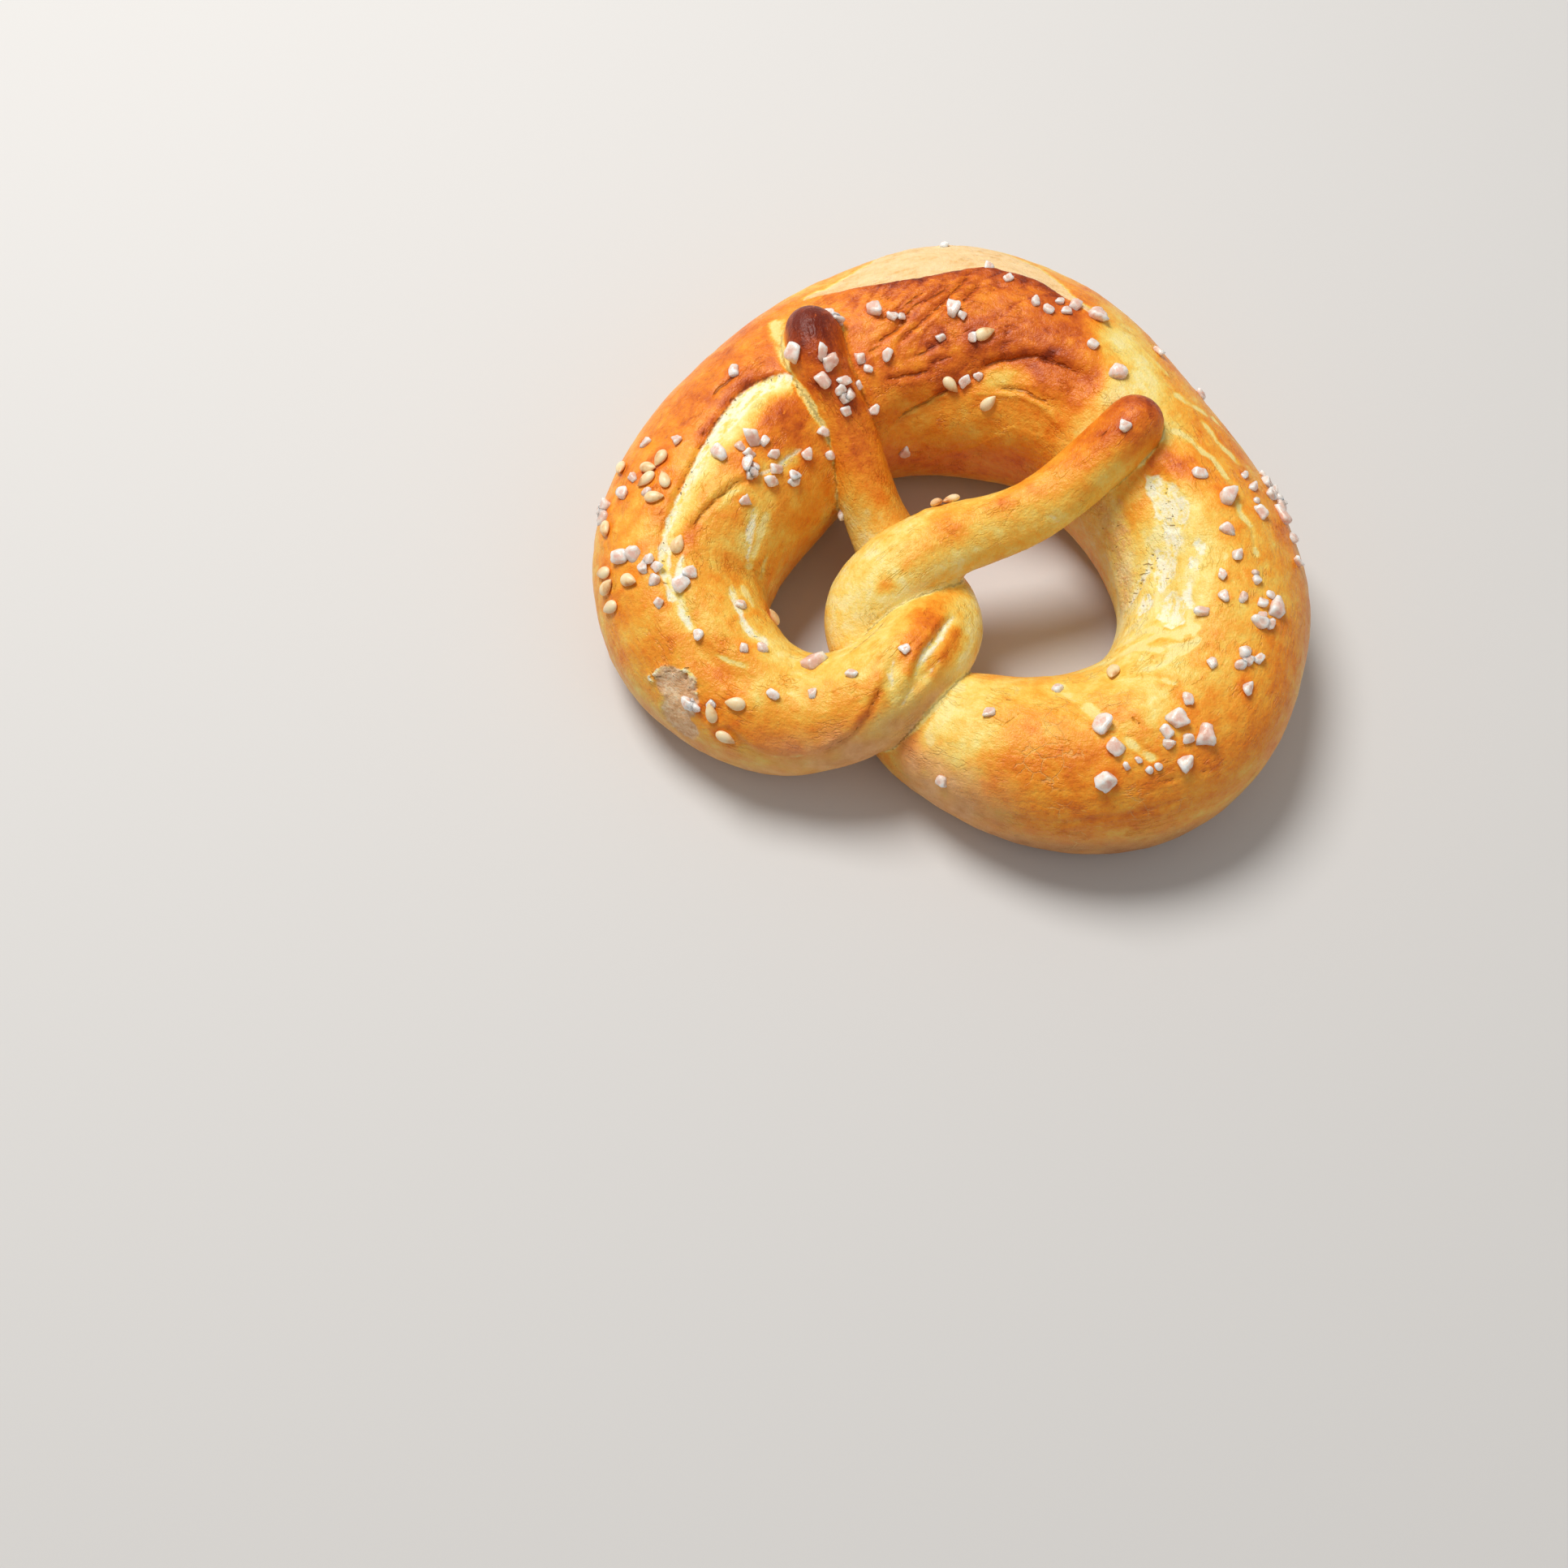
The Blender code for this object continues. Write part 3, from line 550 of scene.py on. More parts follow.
# ---------------------------------------------------------------- dark wrinkles and cracks: browner crust, and dark cores that are painted shade in the creases
# (line, half width, depth)
DARK = [
    ([(124.5, -9), (131, -8), (136.5, -9.5), (140, -10.5), (145, -10.5), (148, -7.5), (150.5, -1.5)], 0.04, 0.20),
    ([(140.5, -21), (143, -22), (144.5, -21), (146.5, -19), (148, -16)], 0.16, 0.24), ([(134.5, -10), (136.5, -12.5), (138.5, -14)], 0.10, 0.18),
    ([(122.5, 6), (124.5, 9), (127, 12), (131, 18), (134.5, 24)], 0.06, 0.28), ([(142, 19), (143, 22), (144, 25)], 0.05, 0.14), ([(62.8, -16), (64.5, -14), (67, -14.5), (69, -16), (70.5, -22)], -0.02, 0.20),
    ([(105, -58), (104.5, -50), (104, -43), (103, -37), (102.5, -34), (101.5, -37), (100.5, -42)], 0.05, 0.15),
    ([(84, -66), (80.5, -55), (77.5, -40), (75, -24), (73.8, -12)], 0.02, 0.22),
    ([(63.5, -14), (66, -12), (68.5, -14), (70, -19), (71.5, -29)], 0.0, 0.12), ([(66, 60), (68, 55), (71, 51), (74, 46), (76, 36)], 0.06, 0.10),
    ([(341, -48), (343, -47), (345, -48)], 0.03, 0.12), ([(326.5, -54), (327.5, -40)], 0.05, 0.15),
    ([(372.5, -22), (375, -15), (377, -10)], 0.08, 0.12),
    ([(184.5, -21), (182.5, -10), (180.5, 0), (178, 8), (174.5, 15), (171, 22)], 0.06, 0.30),
    ([(182, -14), (179.5, -5), (176.5, 0), (173.5, 8), (171, 14)], 0.04, 0.26), ([(178.5, -9), (175.5, -2), (172.5, 2), (168, 4)], 0.04, 0.26),
    ([(171, 18), (167.5, 19), (164.5, 20)], 0.08, 0.22), ([(179.5, 38), (174, 39), (170, 38.5), (166, 37)], 0.10, 0.24),
    ([(186, -17), (184, -5), (182.5, 5)], 0.05, 0.20), ([(176.5, 3), (172.5, 12), (169.5, 15), (166, 17)], 0.08, 0.22),
    ([(188, -15), (186, -3)], 0.03, 0.14), ([(174, -14), (171, -4)], 0.03, 0.14), ([(180, 22), (176, 28), (171, 30)], 0.06, 0.18),
    ([(186, 12), (182, 22)], 0.03, 0.14), ([(168, 24), (164, 30)], 0.04, 0.14), ([(184, 30), (179, 33), (175, 34)], 0.03, 0.14),
    ([(166, -31), (169, -26), (172, -21.5), (177, -19.5), (181, -21.5), (185, -26), (189, -25), (193, -25), (197, -20)], 0.05, 0.20),
    ([(187.5, 37), (189.5, 31), (193, 26), (195.5, 22), (198.5, 20), (201.5, 18), (206, 16)], 0.12, 0.22),
    ([(164.5, 67), (170.5, 60), (175, 56), (179, 51), (183, 47)], 0.10, 0.22),
    ([(190, 46.5), (194, 43.5), (197.5, 40.5), (200, 40.5), (202.5, 40.5), (205.5, 42.5)], 0.12, 0.28),
    ([(276.8, -40), (275, -41), (273.5, -46)], 0.08, 0.18), ([(272.5, -44), (271.5, -46), (270, -47)], 0.08, 0.18),
    ([(277.5, 6), (276.5, -1), (275, -13)], 0.06, 0.16), ([(296.5, 23), (295, 19), (293.5, 32)], 0.04, 0.15),
    ([(268, 8), (268, 4)], 0.12, 0.14), ([(287, -70), (284, -62), (279, -58), (274, -59)], -0.2, 0.08),
    ([(296, -12), (294, 2), (292.5, 14)], -0.05, 0.10),
]
# ---------------------------------------------------------------- steps: one side of the line stands proud
# (line, height, reach, + right-hand side up)
STEPS = [
    ([(164, -33), (167.5, -29), (172, -22), (177, -20), (180, -21.5), (183.5, -24.5), (188.5, -25.5), (193, -25.5), (197, -20)], 0.55, 1.6, +1),
    ([(164.5, 66), (170.5, 59), (175, 55), (179, 50), (183, 46), (187.5, 36), (189.5, 30), (193, 25), (198.5, 19), (203.5, 16), (209, 13)], 0.32, 1.8, -1),
    ([(190, 46), (194, 43), (197.5, 40), (202.5, 40), (206, 43), (209, 47)], 0.30, 1.5, +1),
    ([(121, 3), (124.5, 9), (127, 12), (131, 18), (134.5, 24), (136, 28)], 0.45, 1.8, -1),
    ([(95.5, -49), (93.5, -57), (89.5, -70), (84, -65), (80, -53), (77, -38), (74.5, -21), (73, -9)], 0.50, 1.7, -1),
    ([(121.5, -10), (127.5, -8), (133.5, -8.5), (140, -10), (145, -10), (148, -7), (150.5, -1), (152, 6)], 0.45, 1.5, -1),
    ([(286.5, 38), (284.5, 24), (281, 6), (277, -22)], 0.20, 1.6, +1),
    ([(270, 24), (268.5, 13), (267.5, 3)], 0.25, 1.6, +1),
    ([(224, 20), (228, 18), (233, 19), (237, 22), (240, 28)], 0.35, 1.5, -1),
    ([(222, -1), (223, -6), (227, -10), (228.5, -14), (232, -14), (237.5, -11), (245, -16)], 0.16, 1.2, +1),
    ([(219, -26), (222.5, -38), (228.5, -58)], 0.14, 1.2, +1),
    ([(338, -52), (341, -48), (345, -48)], 0.2, 1.2, +1),
]
# ---------------------------------------------------------------- ridges and dips: (line, reach, height)
RIDGES = [
    ([(62, -12), (66, -8), (69, -12), (71.5, -24), (73, -34)], 0.9, 0.28), ([(62.5, -28), (66.5, -28), (69.5, -42), (72.5, -54)], 1.2, 0.35),
    ([(71, -11), (72.3, -19), (73, -27)], 0.6, 0.15), ([(142, -20), (146, -17), (149, -12)], 2.2, 0.18),
    ([(139, 20), (144, 17), (146, 10)], 3.0, 0.30), ([(136, 44), (128, 52), (120, 56)], 2.5, 0.20),
    ([(196, 32), (201, 30), (206, 28)], 2.6, 0.55), ([(170, 2), (176, -4), (181, -16)], 1.6, 0.16),
    ([(176, 18), (180, 8), (184, -8)], 1.7, 0.16), ([(234, 12), (238, 14), (242, 22)], 1.6, 0.30),
    ([(226, 16), (224, 24), (226, 34)], 1.4, 0.25), ([(229, 38), (233, 40), (237, 42)], 1.4, 0.25),
    ([(258, 36), (262, 30), (264, 20)], 1.6, 0.22), ([(263, 50), (266, 42), (270, 36)], 2.0, 0.18),
    ([(318, 20), (326, 30), (332, 45)], 1.8, 0.20), ([(352, 10), (358, 6), (364, 6)], 2.4, 0.10),
    ([(226, 66), (234, 70), (242, 72)], 1.2, 0.20), ([(230, 82), (240, 86), (250, 90)], 1.4, 0.25),
]

# ---- the same swellings, hollows and tears as the solid
BULGES = [
    (177, -58, 18, 9, 2.0), (136, 12, 16, 7, 0.9), (101, -52, 5, 6, -0.7), (66, -2, 7, 4, 0.6), (240, 8, 16, 6, 0.7),
]
TEARS = [
    ([(93, -9), (101, -13), (110, -9), (120, -6), (130, -6), (141, -9), (147, -6), (151, 6)], 2.0, 0.8, 0.0),
    ([(164, -32), (171, -28), (179, -21), (187, -32), (192, -28), (197, -21)], 2.2, 0.3, 0.9),
    ([(163, 66), (170, 56), (178, 51), (183, 42), (190, 28), (197, 21), (203, 18), (209, 9)], 2.4, 0.5, -1.2),
    ([(222, 24), (229, 28), (237, 36), (247, 42), (253, 36), (259, 18)], 3.0, 0.6, -0.5),
    ([(61.5, -21), (66, -18), (69, -21), (71, -32), (73, -45)], 1.8, 0.45, 0.0),
    ([(68, 4), (70.5, -2), (72, -13), (73.5, -28)], 1.4, 0.5, 0.0),
    ([(290, 43), (283, 17), (279, -6), (276, -28)], 2.2, 0.4, 0.0),
]


def lumps(s, turn):
    return LUMP * (np.sin(s / 7.1 + 1.3 * np.sin(turn + 0.4)) * np.cos(2 * turn + s / 23)
                   + 0.7 * np.sin(s / 11.3 + 2.1) * np.cos(turn - s / 31)
                   + 0.5 * np.sin(s / 4.3) * np.sin(3 * turn + s / 13))


# ---------------------------------------------------------------- what lies on the crust
# (size mm, places on the rope)
SALT = [
    (1.5, [(181, -52), (186, -26), (188.5, -18), (193, -7), (195, -6), (196, -15), (197.5, -11), (198, -18), (203.5, 0), (209.5, -39),
           (217, -57), (172, 5), (183, 9), (179.5, 21), (185, 21), (169, 25), (164, 21), (164.5, 28), (9, 2), (15, -57), (17.5, 3),
           (162.5, 50), (184.5, 44), (187.5, 40), (168.5, 88), (377, 6), (149, 40), (147, 52), (143.5, 40), (140, 18),
           (137, 10), (139.5, 26), (137, 16), (135.5, 18), (138, 32), (139.5, 42), (139, 44), (130.5, 28), (147.5, -21), (133, -46),
           (134, -23), (128, -41), (126, -44), (126.5, -26), (117.5, -18), (116.5, -14), (116.5, -22), (114.5, -16), (114.5, 5),
           (111.5, -19), (105, -7), (106.5, 33), (99, 11), (97, 22), (76, 9), (90.5, -12), (82.5, -3), (230, 1), (231.5, -59),
           (232.5, -61), (234, -32), (235, -47), (238, -27), (240, 1), (240.5, -55), (243.5, -51), (248, 7), (244.5, -2), (248, -13),
           (251.5, 5), (251, -6), (249.5, -23), (251, -18), (253, -19), (254, -18), (253.5, -25), (254.5, 14), (262, -1), (258.5, -15),
           (258.5, -24), (260.5, -15), (259.5, -18), (262.5, -26), (288, 36), (268.5, -3), (273.5, -13), (271.5, -22), (274, -20),
           (297, 4), (300, -62), (70, -1), (143.5, 88)]),
    (1.0, [(278, -23), (279.5, -26), (277, -31), (173.5, 6), (236, -28), (232, -30), (276, -30), (247, -12)]),
    (2.3, [(201, -21), (209.5, 2), (169.5, -4), (181.5, 6), (7.5, 52), (10, -10), (12, 19), (139, 13), (134.5, 3), (118.5, -36),
           (118.5, -28), (235, -7), (238, -51), (251, -28), (271.5, -10), (269.5, -25), (280.5, -13), (282, -33), (83, 33), (113, -2)]),
    (3.1, [(281.5, 2)]), (2.0, [(273, -34)]),
]
CLUSTERS = [(164, -10), (14.5, -11), (135.5, 28), (124.5, -66), (99, -49), (235, -58), (233.5, -62)]
SESAME = [(187, 18), (181.5, 46), (191, 53), (346, -61), (348, -64), (131, -27), (129.5, -32), (128, -30), (128.5, -18), (129.5, -59),
          (126, -20), (122, -53), (120, 0), (117.5, -54), (116, -53), (114, -56), (115.5, -33), (97.5, -48), (95.5, -31), (95, -63),
          (103, 70), (275.5, 39)]
rng = np.random.default_rng(20)
salt_places = [(s, d, size * rng.uniform(0.85, 1.18)) for size, places in SALT for s, d in places]
for s, d in CLUSTERS:
    for k in range(4):
        salt_places.append((s + rng.uniform(-1.3, 1.3), d + rng.uniform(-8, 8), rng.uniform(1.2, 1.9)))
seed_places = [(s, d, 3.2) for s, d in SESAME]

# ================================================================  fields
up_face = N0[:, 2]
fine_a = layered(P0, 5.0, 11, 3)
fine_b = layered(P0, 1.9, 23, 2)
fine_c = layered(P0, 0.95, 31, 2)
around = T * GIRTH

height = lumps(S, T)
for along, degrees, reach, across, rise in BULGES:
    off = (DEG - degrees + 180) % 360 - 180
    height += rise * np.exp(-((S - along) / reach) ** 2 - (np.radians(off) * GIRTH / across) ** 2)
for line, across, depth, lip in TEARS:
    idx, d, hand, share, total = near_line(line, 4.5 * across)
    fade = taper(share, total, 5.0)
    height[idx] += fade * (-depth * np.exp(-(d / across) ** 2)
                           + lip * 0.5 * np.tanh(hand * d / (0.6 * across)) * np.exp(-(d / (3.5 * across)) ** 2))
height += 0.13 * fine_a + 0.05 * fine_b + 0.014 * fine_c
# faint pulls in the skin along the rope
pulls = layered(np.stack([S / 5.0, around / 1.3, 0 * S], 1), 1.0, 41, 2)
height += 0.045 * pulls

# base browning: golden on top, paler down the sides
weight = np.full(len(P0), 0.55)
toast = weight * (0.40 + 0.16 * smooth(up_face, 0.0, 0.9))
for line, value, reach, strength in ZONES:
    idx, d, hand, share, total = near_line(line, 2.6 * reach)
    w = strength * 1.5 * np.exp(-(d / reach) ** 2)
    weight[idx] += w
    toast[idx] += w * value
toast /= weight
toast = np.where(toast < 0.75, 0.75 - (0.75 - toast) * 1.20, toast)
toast += 0.09 * layered(P0, 6.0, 57, 2) + 0.10 * layered(P0, 2.4, 71, 2)

crumb = np.zeros(len(P0))       # passes 0.5 where the crumb is bare
pale = np.zeros(len(P0))        # cream-coloured stretched dough
dark = np.zeros(len(P0))        # passes 1 on the thin dark lines
# the dark pores and dashes of speck are painted shade in the pores and small cracks
speck = np.zeros(len(P0))       # how many dark pores and dashes
warm = np.zeros(len(P0))        # 0 white crumb .. 1 cream-tan crumb

for line, half, amount in BROWN:
    idx, d, hand, share, total = near_line(line, 3 * half, 0.5, 61)
    toast[idx] += amount * taper(share, total, 1.5) * np.exp(-(d / half) ** 2)
for number, (line, side, widths, far, bare) in enumerate(BANDS):
    idx, d, hand, share, total = near_line(line, max(widths) + far + 1.5, 0.22, 500 + number)
    width = np.interp(share, np.linspace(0, 1, len(widths)), widths)
    inside = d * hand * side
    within = (share > 0.002) & (share < 0.998)
    field = np.clip(0.5 + np.minimum(inside, width - inside) / 1.6, 0, 1.3) * bare
    crumb[idx] = np.where(within, np.maximum(crumb[idx], field), crumb[idx])
    soft = smooth(1 - (inside - width) / far) * smooth(inside, -0.1, 0.5) * within
    toast[idx] += soft * (0.04 - toast[idx])
    dashes = np.exp(-((inside - 0.25) / 0.40) ** 2) * smooth(layered(P0[idx], 1.1, 520 + number, 1), -0.2, 0.2)
    speck[idx] = np.maximum(speck[idx], within * (1.0 if number == 0 else 0.5) * dashes)
    if number == 1:
        warm[idx] = np.maximum(warm[idx], smooth(inside, -1.0, 0.0) * within)
for number, (line, halves, depth, bare, dashes) in enumerate(CRUMB):
    idx, d, hand, share, total = near_line(line, max(halves) + 3.0, 0.5 if max(halves) > 0.8 else 0.3, 100 + number)
    half = np.interp(share, np.linspace(0, 1, len(halves)), halves)
    end = taper(share, total, 1.0)
    field = 0.5 + (half * (0.5 + 0.5 * end) - d) / 1.6
    crumb[idx] = np.maximum(crumb[idx], np.clip(field, 0, 1.3) * bare)
    height[idx] -= depth * end * np.exp(-(d / (half + 0.25)) ** 2)
    speck[idx] = np.maximum(speck[idx], dashes * end * np.exp(-(np.maximum(d - half * 0.4, 0) / (0.45 + 0.4 * half)) ** 2))
    halo = 0.55 * np.exp(-(np.maximum(d - half, 0) / (0.6 + 0.6 * half)) ** 2) * end
    toast[idx] += halo * (0.12 - toast[idx]) * (toast[idx] > 0.12)
for number, (line, half, amount, rise) in enumerate(PALE):
    idx, d, hand, share, total = near_line(line, 3 * half + 1.5, 0.3, 200 + number)
    end = taper(share, total, 2.0)
    broken = 0.72 + 0.5 * layered(P0[idx], 2.2, 140 + number, 2)
    pale[idx] = np.maximum(pale[idx], amount * end * broken * np.exp(-(np.maximum(d - 0.4 * half, 0) / (half * 0.9 + 0.12)) ** 2))
    height[idx] += rise * end * np.exp(-(d / max(half, 0.45)) ** 2)
for number, (line, half, depth) in enumerate(DARK):
    idx, d, hand, share, total = near_line(line, 2.5, 0.28, 300 + number)
    end = taper(share, total, 2.6)
    dark[idx] = np.maximum(dark[idx], 1 - (d - half * end) / 1.5 - 0.25 * (1 - end))
    height[idx] += depth * end * (0.35 * np.exp(-((d - 1.0) / 0.5) ** 2) - np.exp(-(d / 0.5) ** 2))
    toast[idx] += 0.08 * end * np.exp(-(d / 0.8) ** 2) * (toast[idx] > 0.45)
for line, rise, reach, way_up in STEPS:
    idx, d, hand, share, total = near_line(line, 3.2 * reach, 0.25, 17)
    end = taper(share, total, 3.0)
    height[idx] += rise * 0.5 * way_up * end * np.tanh(hand * d / 0.35) * np.exp(-(d / reach) ** 2)
for line, reach, rise in RIDGES:
    idx, d, hand, share, total = near_line(line, 3 * reach)
    height[idx] += rise * taper(share, total, 3.0) * np.exp(-(d / reach) ** 2)

# wrinkled, blistered brown crust of the belly: fine folds all leaning one way
lean_a, lean_b = S * 0.66 + around * 0.75, -S * 0.75 + around * 0.66
fold = layered(np.stack([lean_a / 1.5, lean_b / 8.0, 0 * S], 1), 1.0, 43, 2)
crease = np.exp(-(fold / 0.10) ** 2)
belly = (smooth(S, 160, 168) * smooth(201 - S, 0, 8) * smooth(DEG, -26, -18) * smooth(46 - DEG, 0, 8)
         * smooth(layered(P0, 6.0, 47, 2), -0.25, 0.3))
height -= 0.13 * belly * crease
toast += 0.15 * belly * crease
blister = smooth(S, 183, 190) * smooth(204 - S, 0, 5) * smooth(DEG, -8, 4) * smooth(32 - DEG, 0, 10)
bumps = layered(P0, 1.25, 53, 2)
height += 0.11 * blister * bumps
toast += blister * (0.16 * np.clip(-bumps, 0, 1) + 0.05)

# the patch where the crust was pulled off: ragged flakes on its upper edge
grey = np.zeros(len(P0))
idx, d, hand, share, total = near_line([(103, -50), (101.8, -47), (101.2, -55), (100.9, -63), (100.8, -72), (99.6, -80)], 8.0, 0.7, 401)
grey[idx] = np.clip(0.5 + (2.7 - d) / 1.8, 0, 1.2)
height -= 0.30 * smooth(grey, 0.35, 0.7)
idx, d, hand, share, total = near_line([(105, -58), (104.6, -50), (104, -43), (103, -37), (102.5, -34), (101.3, -36), (100.3, -42)], 3.0, 0.4, 402)
flake = np.exp(-(d / 0.85) ** 2) * smooth(layered(P0[idx], 1.1, 405, 2), -0.50, 0.0)
height[idx] += 0.65 * flake
crumb[idx] = np.maximum(crumb[idx], 1.0 * flake)
speck[idx] = np.maximum(speck[idx], 0.7 * np.exp(-((d - 0.5) / 0.5) ** 2))
# greyish, finely wrinkled flank inside the right lobe
flank = np.zeros(len(P0))
idx, d, hand, share, total = near_line([(223, 64), (229, 64), (234, 70), (239, 76), (246, 82)], 12.0, 0.8, 403)
flank[idx] = smooth(1 - d / 6.5)
grey += 0.47 * flank
speck = np.maximum(speck, 0.36 * flank)
toast += flank * 0.10 * layered(np.stack([S / 3.0, around / 1.2, 0 * S], 1), 1.0, 407, 2)

# strands touching: cream and full of pores, whose dark specks are painted shade
ragged = layered(P0, 2.6, 83, 2)
reach_touch = 1.15 + 0.75 * ragged
touch = smooth((reach_touch - GAP) / 0.9)
seam = np.where(((S < 40) & (DEG < 10)) | ((S > 152) & (S < 176)), 0.34, 0.66) + 0.30 * layered(P0, 2.0, 89, 2)
pale = np.maximum(pale, np.clip(seam, 0, 1) * touch)
speck = np.maximum(speck, 0.50 * touch * smooth(layered(P0, 3.0, 87, 2), -0.1, 0.45))

# the torn skin has a ragged edge and stands a little proud of the crumb
rip = (S > 222) & (S < 262) & (DEG > 0) & (DEG < 85)
crumb = np.where((crumb > 0.02) & (warm < 0.5), crumb + np.where(rip, 0.40, 0.08) * layered(P0, 1.8, 211, 3), crumb)
height -= np.where(rip, 0.16, 0.08) * smooth(crumb, 0.30, 0.66) * (warm < 0.5)
# crumb surfaces are slightly fibrous
fibre = layered(np.stack([S / 0.9, around / 2.4, 0 * S], 1), 1.0, 91, 2)
height += smooth(crumb, 0.3, 0.7) * (0.02 * fine_c + 0.035 * fibre)
height += smooth(grey, 0.2, 0.8) * (0.07 * fine_c + 0.07 * fine_b + 0.05 * pulls)
# blisters of the well-baked crust
height += 0.035 * smooth(toast, 0.55, 0.85) * layered(P0, 1.2, 97, 2)

# grains have sunk in a little; the browner ring round each grain's foot is painted contact shade
for s, degrees, size in salt_places + seed_places:
    at = rope.surface(np.array([s]), np.array([math.radians(degrees)]))[0]
    near = np.nonzero((np.abs(P0 - at) < size * 1.3).all(1) & (np.abs(S - s) < size * 2 + 1))[0]
    d = np.linalg.norm(P0[near] - at, axis=1)
    r = size * 0.5
    height[near] += 0.10 * np.exp(-((d - r * 1.35) / (0.30 * r + 0.2)) ** 2) - 0.12 * np.exp(-(d / r) ** 2)
    toast[near] += 0.07 * np.exp(-((d - r) / (0.5 * r + 0.15)) ** 2)

# pale band near the tray, where the crust hardly browned; its tan is also painted shade, darker than the dough's own
# colour on the low sides
low = smooth(1 - (P0[:, 2] - 1.0) / 6.5) * smooth(0.6 - up_face, 0, 0.5)
# painted shade: on the front-facing flanks, turned away from the lamp, the tan band reaches higher up
front = (smooth(-N0[:, 1], 0.15, 0.65) * smooth(0.82 - up_face, 0, 0.42) * smooth(1 - (P0[:, 2] - 6.0) / 9.0)
         * (smooth(S, 58, 68) * smooth(112 - S, 0, 10) + smooth(S, 236, 262) * smooth(306 - S, 0, 4)))
# and the painted shade reaches highest on the knot's own flank and beside it
knot = smooth(S, 60, 70) * smooth(96 - S, 0, 16) * (DEG < -20) + smooth(S, 288, 298) * smooth(308 - S, 0, 4)
front = np.maximum(front, knot * smooth(-N0[:, 1], 0.10, 0.5) * smooth(0.90 - up_face, 0, 0.45))
low = np.maximum(low, front * (0.85 + 0.45 * layered(P0, 3.0, 93, 2)).clip(0, 1))
under = smooth(0.9 - P0[:, 2], 0, 0.9)

# ---- shape
fade = smooth(P0[:, 2], 0.4, 2.2) * smooth(GAP, 0.15, 1.2)
end_fade = smooth(np.minimum(S, rope.length - S), 0.5, 5.0)
P = P0 + N0 * (height * fade * end_fade)[:, None]
# the tray side is flat
soft = 0.35
P[:, 2] = (P[:, 2] + np.sqrt(P[:, 2] ** 2 + soft ** 2)) / 2
P[:, 2] -= P[:, 2].min()
P[:, 0] -= CENTRE[0]
P[:, 1] -= CENTRE[1]

# =============================================================  the dough's mesh
dough = mesh_object("pretzel_dough", P, TRI.tolist())
FIELDS = {
    "toast": toast, "crumb": crumb, "pale": pale, "dark": dark, "speck": speck, "grey": grey,
    "low": low, "under": under, "touch": touch, "warm": warm, "rope_s": S, "rope_t": T * GIRTH,
}
for name, values in FIELDS.items():
    layer = dough.data.attributes.new(name, "FLOAT", "POINT")
    layer.data.foreach_set("value", np.ascontiguousarray(values, np.float32))
if len(TRI) > FACES:
    fewer = dough.modifiers.new("fewer_faces", "DECIMATE")
    fewer.decimate_type = "COLLAPSE"
    fewer.ratio = FACES / len(TRI)
    bpy.context.view_layer.update()
    evaluated = dough.evaluated_get(bpy.context.evaluated_depsgraph_get())
    lighter = bpy.data.meshes.new_from_object(evaluated, preserve_all_data_layers=True,
                                              depsgraph=bpy.context.evaluated_depsgraph_get())
    dough.modifiers.clear()
    old = dough.data
    dough.data = lighter
    bpy.data.meshes.remove(old)
    lighter.name = "pretzel_dough"
dough.data.shade_smooth()

# =============================================================  node helpers


